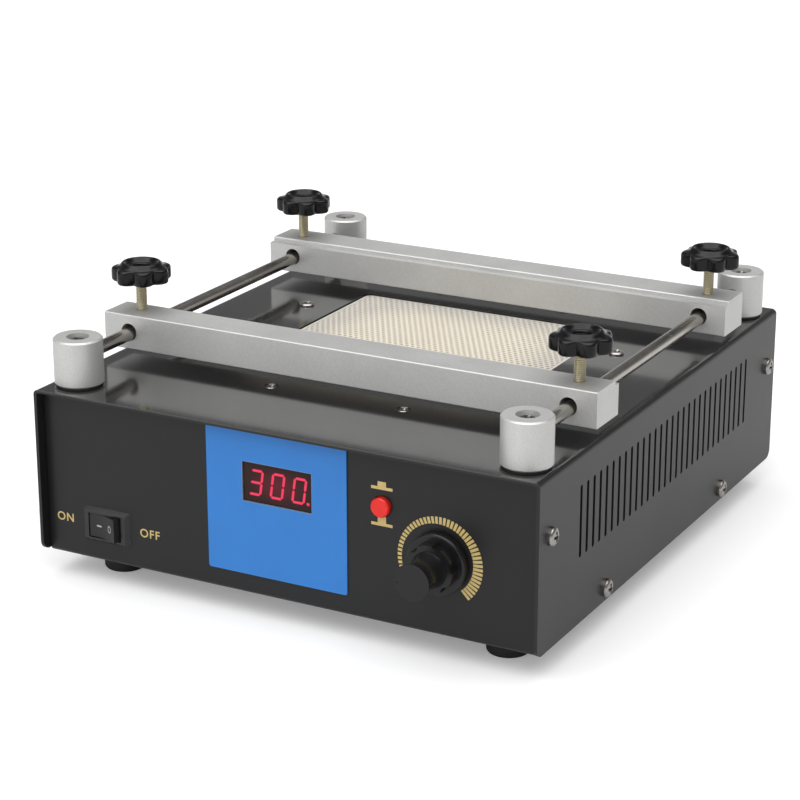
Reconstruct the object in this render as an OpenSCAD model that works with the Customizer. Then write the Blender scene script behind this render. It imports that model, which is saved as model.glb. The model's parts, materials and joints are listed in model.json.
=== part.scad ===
// PCB preheater: a low steel housing with a ceramic hot plate in its top, and a board holder of
// two aluminium bars that slide on steel rods above it.
// Millimetres. X runs to the right, Y to the back and Z up. The origin lies on the bench, under
// the middle of the outline. Modules measure Y from the front edge of the cover, and place()
// brings the finished piece to the origin.

/* [Housing] */
// Width of the cover over its side walls
cover_w = 245; // [236:1:290]
// Depth of the cover from its front edge to its rear edge
cover_d = 270; // [260:1:320]
// Height of the cover's side walls
cover_h = 76; // [75:1:100]
// Thickness of the steel sheet
sheet_t = 1.5; // [1.4:0.1:2]
// Outside radius of the sheet bends
bend_r = 2.5; // [2.2:0.1:4]
// Radius of the lower corners of the side walls
corner_r = 4.5; // [2:0.5:8]
// Distance of the front and rear panels behind the edges of the cover
panel_recess = 5; // [4:0.5:7]
// Gap between the cover and the base tray inside it
sheet_gap = 0.3; // [0.2:0.05:0.6]

/* [Feet] */
// Diameter of a rubber foot
foot_d = 19; // [16:0.5:24]
// Height of a rubber foot
foot_h = 11; // [9:0.5:16]
// Distance of the feet from the sides of the cover
foot_inset_x = 26; // [20:0.5:40]
// Distance of the feet from the front and rear edges of the cover
foot_inset_y = 28; // [22:0.5:36]

/* [Vents] */
// Number of slots in each side wall
vent_count = 30; // [10:1:32]
// Distance from one slot to the next
vent_pitch = 6.53; // [5:0.01:6.8]
// Width of a slot
vent_w = 2.2; // [1.5:0.1:3.5]
// Length of a slot
vent_l = 32; // [20:0.2:40]
// Height of the slots' middle above the lower edge of the cover
vent_z = 46; // [38:0.2:50]

/* [Board holder] */
// Diameter of a corner post
post_d = 22; // [20:0.5:26]
// Height of a corner post
post_h = 21; // [20:0.5:26]
// Distance of the posts from the sides of the cover
post_inset_x = 13.5; // [13:0.5:20]
// Distance of the posts from the front and rear edges of the cover
post_inset_y = 16; // [14:0.5:22]
// Thickness of the washer under a post
washer_t = 0.8; // [0.5:0.1:1.5]
// Diameter of the slide rods
rod_d = 6; // [5:0.1:7]
// Height of the rods' axes above the cover
rod_rise = 12.2; // [11.8:0.1:14]
// Distance of a bar's ends past the axes of the rods
bar_past = 13; // [10:0.5:16]
// Height of a bar
bar_h = 16; // [15:0.5:18]
// Thickness of a bar from front to back
bar_t = 22; // [18:0.5:26]
// Diameter of the rod bores in the bars
bore_d = 8; // [7.4:0.1:9]
// Width of the rebate that takes the board's edge
rebate_w = 3.6; // [2:0.1:5]
// Depth of the rebate
rebate_h = 2.1; // [1.2:0.1:3]
// Place of the front bar's front face
front_bar_y = 55; // [40:1:80]
// Distance of the rear bar's back face from the rear edge of the cover
rear_bar_in = 48; // [38:1:78]

/* [Thumbscrews] */
// Diameter of the threaded stud
stud_d = 5; // [4:0.1:6]
// Free length of the stud between the bar and the knob
stud_free = 13.6; // [8:0.1:25]
// Diameter of the star knob over its lobes
knob_d = 28.5; // [24:0.5:32]
// Height of the star knob
knob_h = 9.4; // [7.5:0.1:11]
// Number of lobes on the star knob
knob_lobes = 7; // [5:1:8]

/* [Heater] */
// Width of the window in the cover
heater_w = 132; // [110:1:140]
// Depth of the window in the cover
heater_d = 130; // [110:1:140]
// Thickness of the ceramic plate
plate_t = 12; // [8:0.5:14]
// Depth of the plate's face below the cover's face
plate_sink = 0.6; // [0.2:0.1:2]
// Distance of the plate's screws from the middle, out to each side
screw_reach = 82; // [80:0.5:90]
// Distance of the plate's screws from the middle, along each side
screw_spread = 33; // [20:0.5:45]
// Diameter of a heating tube
tube_d = 9; // [6:0.5:10]
// Number of cells across the plate's face
cell_columns = 15; // [8:1:18]
// Number of cells from the front to the back of the plate's face
cell_rows = 15; // [8:1:18]
// Number of heating tubes
tube_count = 5; // [3:1:7]

/* [Rocker switch] */
// Place of the switch to the right of the middle
rocker_x = -89.4; // [-95:0.2:-60]
// Height of the switch above the lower edge of the cover
rocker_z = 16; // [12:0.2:30]
// Width of the bezel
bezel_w = 24.4; // [23.6:0.1:28]
// Height of the bezel
bezel_h = 16.2; // [15.4:0.1:20]
// Width of the rocker
rocker_w = 15.2; // [14:0.1:19.2]
// Height of the rocker
rocker_h = 10.8; // [8:0.1:11.2]
// Angle by which the rocker leans to each side
rocker_tilt = 12; // [6:1:14]

/* [Display and button] */
// Place of the overlay's middle to the right of the middle
overlay_x = -1.8; // [-6:0.2:4]
// Distance of the overlay's upper edge below the upper edge of the panel
overlay_drop = 1.2; // [0.5:0.1:5]
// Width of the overlay
overlay_w = 68.5; // [60:0.5:72]
// Height of the overlay
overlay_h = 65; // [55:0.5:66]
// Place of the display window to the right of the middle
window_x = -1.3; // [-6:0.1:4]
// Height of the display window above the lower edge of the cover
window_z = 50.5; // [46:0.1:54]
// Width of the display window
window_w = 34; // [32:0.2:40]
// Height of the display window
window_h = 18; // [16:0.2:22]
// Place of the push button to the right of the middle
button_x = 48.8; // [46:0.2:52]
// Height of the push button above the lower edge of the cover
button_z = 51; // [46:0.2:56]
// Diameter of the push button
button_d = 8.6; // [6:0.1:10]
// Length of the button that stands out of the panel
button_out = 2.5; // [1.8:0.1:4]
// Travel of the push button
button_travel = 1.5; // [0.5:0.1:1.6]

/* [Dial] */
// Place of the dial to the right of the middle
dial_x = 75.8; // [74:0.2:90]
// Height of the dial above the lower edge of the cover
dial_z = 31.8; // [24:0.2:40]
// Diameter of the dial's skirt
dial_d = 27; // [26:0.2:34]
// Length of the dial in front of the panel
dial_len = 25; // [23:0.5:30]
// Number of flutes round the collar of the dial
dial_flutes = 6; // [4:1:10]

/* [Mains inlet] */
// Place of the inlet to the right of the middle
inlet_x = -70; // [-80:1:80]
// Height of the inlet above the lower edge of the cover
inlet_z = 25; // [16:1:50]

/* [Hidden] */
$fn = 72;

// Clearances
run_fit = 0.1; // round a piece that turns or slides in a hole, and round a screw's shank
seat_fit = 0.05; // round a piece that is fixed in a hole
free_gap = 0.3; // round a piece that moves past another
cut = 1; // how far a cutter reaches past the face that it opens

// Colours
black_paint = [0.14, 0.14, 0.145];
satin_aluminium = [0.74, 0.74, 0.73];
bright_steel = [0.70, 0.68, 0.65];
yellow_zinc = [0.66, 0.58, 0.36];
plated_steel = [0.62, 0.63, 0.64];
black_plastic = [0.07, 0.07, 0.075];
black_rubber = [0.05, 0.05, 0.05];
overlay_blue = [0.16, 0.42, 0.74];
smoked_red = [0.15, 0.05, 0.05];
button_red = [0.85, 0.12, 0.10];
cream_ceramic = [0.90, 0.87, 0.78];
white_fibre = [0.93, 0.93, 0.90];
board_green = [0.10, 0.35, 0.18];
copper = [0.72, 0.42, 0.24];
core_grey = [0.35, 0.35, 0.37];

// Housing
edge_z = foot_h + sheet_t;
cover_top = edge_z + cover_h;
cover_under = cover_top - sheet_t;
panel_back = panel_recess + sheet_t;
rear_panel_y = cover_d - panel_recess;
panel_top = cover_under - sheet_gap;
base_w = cover_w - 2 * (sheet_t + sheet_gap);
flange_w = 14;
panel_flange_z = 38;
panel_flange_h = 24;
floor_flange_y = 45;
floor_flange_h = 12;

// Screws that hold the cover, as distances from its ends and above its lower edge
side_screw_d = 4;
side_screw_l = 8;
upper_screw_y = 11;
upper_screw_z = 50;
lower_screw_y = 68;
lower_screw_z = 6;
side_screw_spots = [
    for (y = [upper_screw_y, cover_d - upper_screw_y]) [y, edge_z + upper_screw_z],
    for (y = [lower_screw_y, cover_d - lower_screw_y]) [y, edge_z + lower_screw_z]
];

// Feet
foot_round = 1.6;
foot_sink_d = 10;
foot_sink_h = 5;
foot_screw_d = 4;
foot_screw_past = 1;
foot_nut_h = 3.2;
foot_nut_d = 8.1;

// Board holder
post_x = cover_w / 2 - post_inset_x;
post_foot = cover_top + washer_t;
post_top = post_foot + post_h;
post_edge = 0.7;
rod_z = cover_top + rod_rise;
rod_past = 4;
clamp_screw_d = 5;
clamp_head_d = 8;
clamp_head_h = 2.6;
clamp_sink_d = 10;
clamp_sink_h = 3.4;
base_screw_d = 5;
base_screw_grip = 6;
bar_l = 2 * (post_x + bar_past);
bar_z = rod_z + (bore_d - rod_d) / 2 - run_fit;
bar_bottom = bar_z - bar_h / 2;
bar_top = bar_z + bar_h / 2;
bar_edge = 0.4;
rear_bar_y = cover_d - rear_bar_in - bar_t;

// Thumbscrews
knob_z = bar_top + stud_free;
stud_tip_z = rod_z + rod_d / 2 + run_fit;
stud_edge = 0.6;
stud_grip = 3;
lobe_r = 3.9;
lobe_depth = 2.8;
knob_round = 1.4;
crest_h = 2.4;
crest_d = 18;
crest_round = 1.5;
dish_d = 17;
dish_floor_d = 12.4;
dish_h = 2.2;
pit_d = 8.4;
pit_h = 1.6;

// Heater
heater_y = cover_d / 2;
window_r = 3;
plate_gap = 0.8;
plate_w = heater_w - 2 * plate_gap;
plate_d = heater_d - 2 * plate_gap;
plate_border = 1.3;
cell_wall = 0.8;
cell_depth = 0.5;
tray_gap = 1;
tray_t = 1;
lip_margin = 6;
plate_top = cover_top - plate_sink;
plate_under = plate_top - plate_t;
support_margin = 2.5;
support_h = tube_d + 2 * support_margin;
support_t = 8;
support_inset = 7;
pad_t = 10;
pad_top = plate_under - support_h;
tray_floor = pad_top - pad_t;
tube_z = plate_under - support_h / 2;
tube_past = 4;
tube_pitch = heater_d / (tube_count + 0.5);
tray_in_w = heater_w + 2 * tray_gap;
tray_in_d = heater_d + 2 * tray_gap;
probe_d = 2.4;
probe_l = 46;
probe_past = 6;
probe_y = heater_y + tube_pitch * (tube_count % 2 == 1 ? 0.5 : 0);
probe_z = plate_under - seat_fit - probe_d / 2;
plate_screw_d = 3.5;
plate_screw_head = 6.4;
plate_screw_l = 7;
plate_nut_h = 2.8;
plate_nut_d = 7.6;
flat_screw_spots = [for (sx = [-1, 1], sy = [-1, 1]) [sx * screw_spread, heater_y + sy * screw_reach]];
domed_screw_spots = [for (sx = [-1, 1], sy = [-1, 1]) [sx * screw_reach, heater_y + sy * screw_spread]];
low_head = 0.6;
plate_screw_spots = concat(flat_screw_spots, domed_screw_spots);

// Rocker switch, measured out of the panel's face
pivot_out = 0.5;
pivot_d = 2;
pivot_end = 1;
bezel_out = 2.2;
bezel_slope = 1.5;
rocker_face = 3;
rocker_dip = 1.3;
rocker_side = 1.6;
rocker_keel = 5.2;
rocker_keel_w = 5;
rocker_reach = sqrt(pow(rocker_w / 2, 2) + pow(rocker_face, 2));
rocker_dip_r = (pow(rocker_w / 2, 2) + pow(rocker_dip, 2)) / (2 * rocker_dip);
cavity_w = 2 * (rocker_reach + free_gap);
cavity_h = rocker_h + 2 * free_gap;
cavity_l = sqrt(pow(rocker_keel_w / 2, 2) + pow(rocker_keel, 2)) + free_gap - pivot_out;
housing_wall = 1;
housing_back = 7;
housing_w = cavity_w + 2 * housing_wall;
housing_h = cavity_h + 2 * housing_wall;
housing_end_y = panel_recess + cavity_l + housing_back;
blade_w = 4.8;
blade_t = 0.8;
blade_in = 3;
blade_out = 8;
blade_x = 6;

// Display, its board and the button
overlay_t = 0.6;
overlay_r = 1.2;
overlay_z = panel_top - edge_z - overlay_drop - overlay_h / 2;
filter_sink = 0.2;
display_gap = 0.5;
display_w = window_w - 2 * display_gap;
display_h = window_h - 2 * display_gap;
display_l = 8;
header_w = 26;
header_h = 8;
board_t = 1.6;
board_gap = 13.5;
board_y = panel_back + board_gap;
board_margin = 7;
board_left = window_x - window_w / 2 - board_margin;
board_right = button_x + button_d / 2 + board_margin;
board_w = board_right - board_left;
board_h = 32;
board_r = 1.5;
standoff_d = 5.5;
standoff_inset = 3.4;
switch_w = 8.6;
switch_l = 8;
stem_d = 3.2;
stem_in = 4;
cap_end_y = board_y - switch_l - button_travel - free_gap;
cap_edge = 0.6;
small_screw_d = 3;
small_screw_grip = 2.6;

// Dial and its potentiometer, measured out of the panel's face
dial_gap = 0.7;
skirt_l = 4.5;
skirt_round = 1;
collar_d = 21;
collar_end = 10;
face_d = 16;
neck_d = 13;
neck_arc = 18;
neck_out = 17.5;
flute_r = 2.4;
flute_depth = 1.3;
flute_turn = 12;
dial_cavity_d = 14;
dial_cavity_l = 6;
dial_front_y = panel_recess - dial_len;
shaft_d = 6;
shaft_hold = 12;
shaft_in = 5;
pot_d = 17;
pot_l = 10;
bush_d = 7.4;
bush_out = 4.5;
pot_nut_d = 11.5;
pot_nut_h = 2.2;
lug_w = 2;
lug_t = 0.8;
lug_l = 6;
lug_pitch = 4;

// Mains inlet, a three-pin appliance coupler
inlet_flange_w = 50;
inlet_flange_h = 22.4;
inlet_flange_t = 2.5;
inlet_flange_r = 4;
inlet_body_w = 27.6;
inlet_body_h = 20;
inlet_body_l = 17;
inlet_mouth_w = 24.4;
inlet_mouth_h = 16.4;
inlet_mouth_l = 16;
inlet_mouth_cut = 4.6;
inlet_screw_x = 20;
inlet_screw_d = 3;
inlet_screw_l = 8;
pin_w = 2;
pin_h = 4;
pin_l = 13;
pin_tail = 6;
pin_spots = [[-7, -2], [7, -2], [0, 2]];

// Electronics on the floor
floor_z = edge_z;
card_x = 60;
card_y = 76;
card_w = 84;
card_d = 56;
card_rise = 8;
card_standoff_d = 6;
card_inset = 4.5;
card_z = floor_z + card_rise;
card_top = card_z + board_t;
capacitor_d = 11;
capacitor_h = 17;
capacitor_spots = [[-26, 14], [-12, 14]];
terminal_size = [26, 10, 11];
terminal_spot = [4, 10];
chip_size = [19, 7.5, 4];
chip_spot = [-30, -12];
relay_size = [20, 16, 15];
relay_spot = [0, -16];
core_x = -58;
core_y = 84;
core_w = 41;
core_h = 34;
core_t = 20;
core_leg = 7;
coil_t = 32;
coil_gap = 0.4;
strap_t = 1;
strap_w = 14;
strap_foot = 11;
sink_x = -58;
sink_y = 158;
sink_w = 46;
sink_d = 40;
sink_base = 6;
sink_h = 24;
fin_count = 7;
fin_t = 2;
sink_flat = 20;
sink_screw_x = 15;
triac_w = 10;
triac_l = 15;
triac_t = 4.5;
floor_screw_l = 6;
strap_screw_x = core_w / 2 + strap_t + strap_foot / 2;
card_spots = [
    for (sx = [-1, 1], sy = [-1, 1])
        [card_x + sx * (card_w / 2 - card_inset), card_y + sy * (card_d / 2 - card_inset)]
];
floor_screw_spots = concat(
    card_spots,
    [for (s = [-1, 1]) [core_x + s * strap_screw_x, core_y]],
    [for (s = [-1, 1]) [sink_x + s * sink_screw_x, sink_y]]
);
board_spots = [
    for (x = [board_left + standoff_inset, board_right - standoff_inset], s = [-1, 1])
        [x, edge_z + window_z + s * (board_h / 2 - standoff_inset)]
];

// Height of a domed screw head
function pan_head_h(d) = 0.7 * d;

// Rear end and middle of the outline from front to back
rear_y = max(cover_d, rear_panel_y + inlet_flange_t + pan_head_h(inlet_screw_d));
y_mid = (dial_front_y + rear_y) / 2;

// Brings a piece that is measured from the cover's front edge to the origin
module place() translate([0, -y_mid, 0]) children();

// Outline with rounded corners, centred
module rounded_rect(w, h, r) {
    square([w - 2 * r, h], center = true);
    square([w, h - 2 * r], center = true);
    for (sx = [-1, 1], sy = [-1, 1])
        translate([sx * (w / 2 - r), sy * (h / 2 - r)]) circle(r);
}

// Extrudes a profile drawn in Y and Z along X, centred
module extrude_x(w) translate([-w / 2, 0, 0]) rotate([90, 0, 90]) linear_extrude(w) children();

// Extrudes a profile drawn in X and Z along Y, from y0 to y0 + d
module extrude_y(y0, d) translate([0, y0 + d, 0]) rotate([90, 0, 0]) linear_extrude(d) children();

// Round bar along Y
module round_y(x, y0, z, d, l) translate([x, y0, z]) rotate([-90, 0, 0]) cylinder(d = d, h = l);

// Screw that points down from the plane z = 0, with a domed head above it. A low head has a share of the
// usual height.
module pan_screw(d, l, share = 1) {
    head_d = 2 * d;
    head_h = share * pan_head_h(d);
    dome_r = 0.8 * head_d;
    intersection() {
        cylinder(d = head_d, h = head_h);
        translate([0, 0, head_h - dome_r]) sphere(dome_r);
    }
    translate([0, 0, -l]) cylinder(d = d, h = l);
}

// Countersunk screw with its flat head level with the plane z = 0
module flat_screw(d, head_d, l) {
    cone_h = (head_d - d) / 2;
    translate([0, 0, -cone_h]) cylinder(d1 = d, d2 = head_d, h = cone_h);
    translate([0, 0, -l]) cylinder(d = d, h = l - cone_h);
}

// Hexagonal nut over the plane z = 0, with the width over its corners
module hex_nut(over_corners, hole_d, h) {
    difference() {
        cylinder(d = over_corners, h = h, $fn = 6);
        translate([0, 0, -cut]) cylinder(d = hole_d, h = h + 2 * cut);
    }
}

// Puts a piece that points out of the wall at each screw of the cover's side walls
module at_side_screws() {
    for (s = [0, 1], p = side_screw_spots)
        mirror([s, 0, 0]) translate([cover_w / 2, p.x, p.y]) rotate([0, 90, 0]) children();
}

// Puts a piece at each spot of a list, at height z
module at_spots(spots, z) for (p = spots) translate([p.x, p.y, z]) children();

// Puts a piece at each corner, at distances from the middle and from the ends of the cover
module at_corners(x, y, z) {
    for (sx = [-1, 1], yy = [y, cover_d - y]) translate([sx * x, yy, z]) children();
}

module at_posts(z) at_corners(post_x, post_inset_y, z) children();

module at_feet(z) at_corners(cover_w / 2 - foot_inset_x, foot_inset_y, z) children();

// Sheet metal housing

// Arch with straight sides and rounded upper corners
module arch(w, r, bottom, top) {
    translate([-w / 2, bottom]) square([w, top - r - bottom]);
    translate([-w / 2 + r, bottom]) square([w - 2 * r, top - bottom]);
    for (s = [-1, 1]) translate([s * (w / 2 - r), top - r]) circle(r);
}

module cover_profile() {
    difference() {
        arch(cover_w, bend_r, edge_z, cover_top);
        arch(cover_w - 2 * sheet_t, bend_r - sheet_t, edge_z - cut, cover_under);
    }
}

module vent_row() {
    first = (cover_d - (vent_count - 1) * vent_pitch) / 2;
    straight = vent_l - vent_w;
    for (i = [0 : vent_count - 1])
        translate([first + i * vent_pitch, edge_z + vent_z]) {
            square([vent_w, straight], center = true);
            for (s = [-1, 1]) translate([0, s * straight / 2]) circle(d = vent_w);
        }
}

// What is cut away at the lower corners of the side walls
module wall_corners() {
    for (s = [0, 1])
        translate([s * cover_d, edge_z]) mirror([s, 0])
            difference() {
                translate([-cut, -cut]) square(corner_r + cut);
                translate([corner_r, corner_r]) circle(corner_r);
            }
}

module cover() {
    through = sheet_t + 2 * cut;
    shank_hole = plate_screw_d + 2 * run_fit;
    head_hole = plate_screw_head + 2 * run_fit;
    color(black_paint)
    difference() {
        extrude_y(0, cover_d) cover_profile();
        extrude_x(cover_w + 2 * cut) vent_row();
        extrude_x(cover_w + 2 * cut) wall_corners();
        translate([0, heater_y, cover_under - cut])
            linear_extrude(through) rounded_rect(heater_w, heater_d, window_r);
        at_side_screws()
            translate([0, 0, -sheet_t - cut]) cylinder(d = side_screw_d + 2 * run_fit, h = through);
        at_spots(flat_screw_spots, cover_top) {
            flat_screw(shank_hole, head_hole, plate_screw_l);
            cylinder(d = head_hole, h = cut);
        }
        at_spots(domed_screw_spots, cover_under - cut) cylinder(d = shank_hole, h = through);
        at_posts(cover_under - cut) cylinder(d = base_screw_d + 2 * run_fit, h = through);
    }
}

// Side view of the base tray's outline, or of the hollow in it
module tray_outline(inset, r, bottom, top) {
    translate([inset, bottom + r]) square([cover_d - 2 * inset, top - bottom - r]);
    translate([inset + r, bottom]) square([cover_d - 2 * (inset + r), 2 * r]);
    for (y = [inset + r, cover_d - inset - r]) translate([y, bottom + r]) circle(r);
}

module tray_profile() {
    difference() {
        tray_outline(panel_recess, bend_r, foot_h, panel_top);
        tray_outline(panel_back, bend_r - sheet_t, floor_z, panel_top + cut);
    }
}

// Flanges that the side screws enter: two on each panel and one along each side of the floor
module tray_flanges() {
    for (s = [0, 1])
        mirror([s, 0, 0]) translate([base_w / 2 - sheet_t, 0, 0]) {
            for (y = [panel_back, rear_panel_y - sheet_t - flange_w])
                translate([0, y, edge_z + panel_flange_z]) cube([sheet_t, flange_w, panel_flange_h]);
            translate([0, floor_flange_y, floor_z])
                cube([sheet_t, cover_d - 2 * floor_flange_y, floor_flange_h]);
        }
}

// Openings of the front panel, drawn in X and Z
module front_openings() {
    translate([rocker_x, edge_z + rocker_z])
        square([housing_w + 2 * seat_fit, housing_h + 2 * seat_fit], center = true);
    translate([window_x, edge_z + window_z]) square([window_w, window_h], center = true);
    translate([button_x, edge_z + button_z]) circle(d = button_d + 2 * free_gap);
    translate([dial_x, edge_z + dial_z]) circle(d = bush_d + 2 * seat_fit);
}

// Openings of the rear panel, drawn in X and Z
module rear_openings() {
    translate([inlet_x, edge_z + inlet_z]) {
        square([inlet_body_w + 2 * seat_fit, inlet_body_h + 2 * seat_fit], center = true);
        for (s = [-1, 1]) translate([s * inlet_screw_x, 0]) circle(d = inlet_screw_d + 2 * run_fit);
    }
}

module base_tray() {
    through = sheet_t + 2 * cut;
    color(black_paint)
    difference() {
        union() {
            extrude_x(base_w) tray_profile();
            tray_flanges();
        }
        extrude_y(panel_recess - cut, through) front_openings();
        extrude_y(rear_panel_y - sheet_t - cut, through) rear_openings();
        at_side_screws()
            translate([0, 0, -side_screw_l]) cylinder(d = side_screw_d + 2 * run_fit, h = side_screw_l);
        at_feet(foot_h - cut) cylinder(d = foot_screw_d + 2 * run_fit, h = through);
        at_spots(floor_screw_spots, foot_h - cut) cylinder(d = small_screw_d + 2 * run_fit, h = through);
    }
}

module side_screws() color(plated_steel) at_side_screws() pan_screw(side_screw_d, side_screw_l);

// Feet

module foot() {
    r = foot_d / 2;
    rotate_extrude()
    difference() {
        union() {
            translate([0, foot_round]) square([r, foot_h - foot_round]);
            square([r - foot_round, foot_h / 2]);
            translate([r - foot_round, foot_round]) circle(foot_round);
        }
        translate([-cut, -cut]) square([cut + foot_screw_d / 2 + run_fit, foot_h + 2 * cut]);
        translate([-cut, -cut]) square([cut + foot_sink_d / 2, foot_sink_h + cut]);
    }
}

module feet() color(black_rubber) at_feet(0) foot();

module foot_screws() {
    length = foot_h - foot_sink_h + sheet_t + foot_nut_h + foot_screw_past;
    color(plated_steel) at_feet(foot_sink_h) mirror([0, 0, 1]) pan_screw(foot_screw_d, length);
}

module foot_nuts() {
    color(plated_steel) at_feet(floor_z) hex_nut(foot_nut_d, foot_screw_d + 2 * seat_fit, foot_nut_h);
}

// Corner posts and slide rods

// Corner post: sx is its side, and dir the way along Y that its rod leaves
module post(sx, dir) {
    r = post_d / 2;
    y = dir > 0 ? post_inset_y : cover_d - post_inset_y;
    rod_local_z = rod_z - post_foot;
    hole_start = rod_past + seat_fit;
    color(satin_aluminium)
    translate([sx * post_x, y, post_foot])
    difference() {
        rotate_extrude()
            polygon([
                [0, 0], [r - post_edge, 0], [r, post_edge],
                [r, post_h - post_edge], [r - post_edge, post_h], [0, post_h]
            ]);
        translate([0, 0, post_h - clamp_sink_h]) cylinder(d = clamp_sink_d, h = clamp_sink_h + cut);
        translate([0, 0, rod_local_z]) cylinder(d = clamp_screw_d + 2 * seat_fit, h = post_h);
        translate([0, -dir * hole_start, rod_local_z])
            rotate([-90 * dir, 0, 0]) cylinder(d = rod_d + 2 * seat_fit, h = hole_start + post_d);
        translate([0, 0, -cut])
            cylinder(d = base_screw_d + 2 * seat_fit, h = cut + base_screw_grip + seat_fit);
    }
}

module post_washers() {
    color(black_rubber)
    at_posts(cover_top)
        difference() {
            cylinder(d = post_d - 2 * post_edge, h = washer_t);
            translate([0, 0, -cut]) cylinder(d = base_screw_d + 2 * run_fit, h = washer_t + 2 * cut);
        }
}

// Screw in the top of each post that clamps the rod's end
module post_clamp_screws() {
    seat_z = post_top - clamp_sink_h;
    tip_z = rod_z + rod_d / 2 + seat_fit;
    color(yellow_zinc)
    at_posts(seat_z) {
        cylinder(d = clamp_head_d, h = clamp_head_h);
        translate([0, 0, tip_z - seat_z]) cylinder(d = clamp_screw_d, h = seat_z - tip_z);
    }
}

// Screw from under the cover into the foot of each post
module post_base_screws() {
    length = sheet_t + washer_t + base_screw_grip;
    color(plated_steel) at_posts(cover_under) mirror([0, 0, 1]) pan_screw(base_screw_d, length);
}

module rod(sx) {
    start = post_inset_y - rod_past;
    color(bright_steel) round_y(sx * post_x, start, rod_z, rod_d, cover_d - 2 * start);
}

// Sliding bars

// Section of a bar in Y and Z, with the rebate at the top of its far side
module bar_section() {
    wall_y = bar_t - rebate_w;
    ledge_z = bar_h - rebate_h;
    polygon([
        [bar_edge, 0], [bar_t - bar_edge, 0], [bar_t, bar_edge], [bar_t, ledge_z], [wall_y, ledge_z],
        [wall_y, bar_h - bar_edge], [wall_y - bar_edge, bar_h], [bar_edge, bar_h],
        [0, bar_h - bar_edge], [0, bar_edge]
    ]);
}

module bar_shape() {
    difference() {
        extrude_x(bar_l) bar_section();
        for (sx = [-1, 1]) {
            round_y(sx * post_x, -cut, bar_h / 2, bore_d, bar_t + 2 * cut);
            translate([sx * post_x, bar_t / 2, bar_h / 2]) cylinder(d = stud_d + 2 * run_fit, h = bar_h);
        }
    }
}

module front_bar() color(satin_aluminium) translate([0, front_bar_y, bar_bottom]) bar_shape();

module rear_bar() {
    color(satin_aluminium)
    translate([0, rear_bar_y + bar_t, bar_bottom]) mirror([0, 1, 0]) bar_shape();
}

// Thumbscrews

// Threaded stud of a thumbscrew on the bar whose front face is at y0
module stud(sx, y0) {
    r = stud_d / 2;
    length = knob_z + stud_grip - stud_tip_z;
    color(yellow_zinc)
    translate([sx * post_x, y0 + bar_t / 2, stud_tip_z])
        rotate_extrude() polygon([[0, 0], [r - stud_edge, 0], [r, stud_edge], [r, length], [0, length]]);
}

module lobed_disc() {
    circle(knob_d / 2 - lobe_depth);
    for (i = [0 : knob_lobes - 1])
        rotate(i * 360 / knob_lobes) translate([knob_d / 2 - lobe_r, 0]) circle(lobe_r);
}

// Side profile of the star knob: a rim with rounded edges, and a slope up to a round crest
module knob_profile() {
    r = knob_d / 2;
    rim_h = knob_h - crest_h;
    crest_r = crest_d / 2;
    flank_r = crest_r + crest_round * cos(45);
    flank_z = knob_h - crest_round * (1 - sin(45));
    translate([0, knob_round]) square([r, rim_h - 2 * knob_round]);
    square([r - knob_round, rim_h]);
    for (z = [knob_round, rim_h - knob_round]) translate([r - knob_round, z]) circle(knob_round);
    polygon([[0, 0], [flank_r + flank_z - rim_h, rim_h], [flank_r, flank_z], [0, flank_z]]);
    translate([crest_r, knob_h - crest_round]) circle(crest_round);
}

// Star knob of a thumbscrew, with a dish inside the crest of its top and a round pit in the dish
module star_knob(sx, y0) {
    dish_z = knob_h - dish_h;
    color(black_plastic)
    translate([sx * post_x, y0 + bar_t / 2, knob_z])
    difference() {
        intersection() {
            linear_extrude(knob_h) lobed_disc();
            rotate_extrude() knob_profile();
        }
        rotate_extrude()
            polygon([
                [0, dish_z - pit_h], [pit_d / 2, dish_z - pit_h], [pit_d / 2, dish_z],
                [dish_floor_d / 2, dish_z], [dish_d / 2, knob_h],
                [dish_d / 2, knob_h + cut], [0, knob_h + cut]
            ]);
        translate([0, 0, -cut]) cylinder(d = stud_d + 2 * seat_fit, h = cut + stud_grip + seat_fit);
    }
}

// Heater

// Grid of cells in the plate's face, inside a plain border
module plate_cells() {
    pitch_x = (plate_w - 2 * plate_border + cell_wall) / cell_columns;
    pitch_y = (plate_d - 2 * plate_border + cell_wall) / cell_rows;
    for (i = [0 : cell_columns - 1], j = [0 : cell_rows - 1])
        translate([(i - (cell_columns - 1) / 2) * pitch_x, (j - (cell_rows - 1) / 2) * pitch_y])
            square([pitch_x - cell_wall, pitch_y - cell_wall], center = true);
}

module heater_plate() {
    color(cream_ceramic)
    translate([0, heater_y, plate_under])
        difference() {
            linear_extrude(plate_t) rounded_rect(plate_w, plate_d, window_r);
            translate([0, 0, plate_t - cell_depth]) linear_extrude(cell_depth + cut) plate_cells();
        }
}

// Puts a piece that lies along X at the axis of each heating tube
module at_tubes() {
    for (i = [0 : tube_count - 1])
        translate([0, heater_y + (i - (tube_count - 1) / 2) * tube_pitch, tube_z])
            rotate([0, 90, 0]) children();
}

module heating_tubes() {
    length = heater_w - 2 * (support_inset - tube_past);
    color(white_fibre) at_tubes() cylinder(d = tube_d, h = length, center = true);
}

// Two strips that carry the plate and the ends of the tubes, with a groove for the probe
module tube_supports() {
    depth = plate_d;
    color(white_fibre)
    difference() {
        for (s = [0, 1])
            mirror([s, 0, 0])
                translate([heater_w / 2 - support_inset - support_t, heater_y - depth / 2, pad_top])
                    cube([support_t, depth, support_h]);
        at_tubes() cylinder(d = tube_d + 2 * seat_fit, h = heater_w, center = true);
        translate([-heater_w, probe_y - probe_d / 2 - run_fit, probe_z - probe_d / 2 - run_fit])
            cube([heater_w, probe_d + 2 * run_fit, probe_d + cut]);
    }
}

module insulation_pad() {
    color(white_fibre)
    translate([0, heater_y, tray_floor])
        linear_extrude(pad_t) square([tray_in_w - 2 * seat_fit, tray_in_d - 2 * seat_fit], center = true);
}

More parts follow.
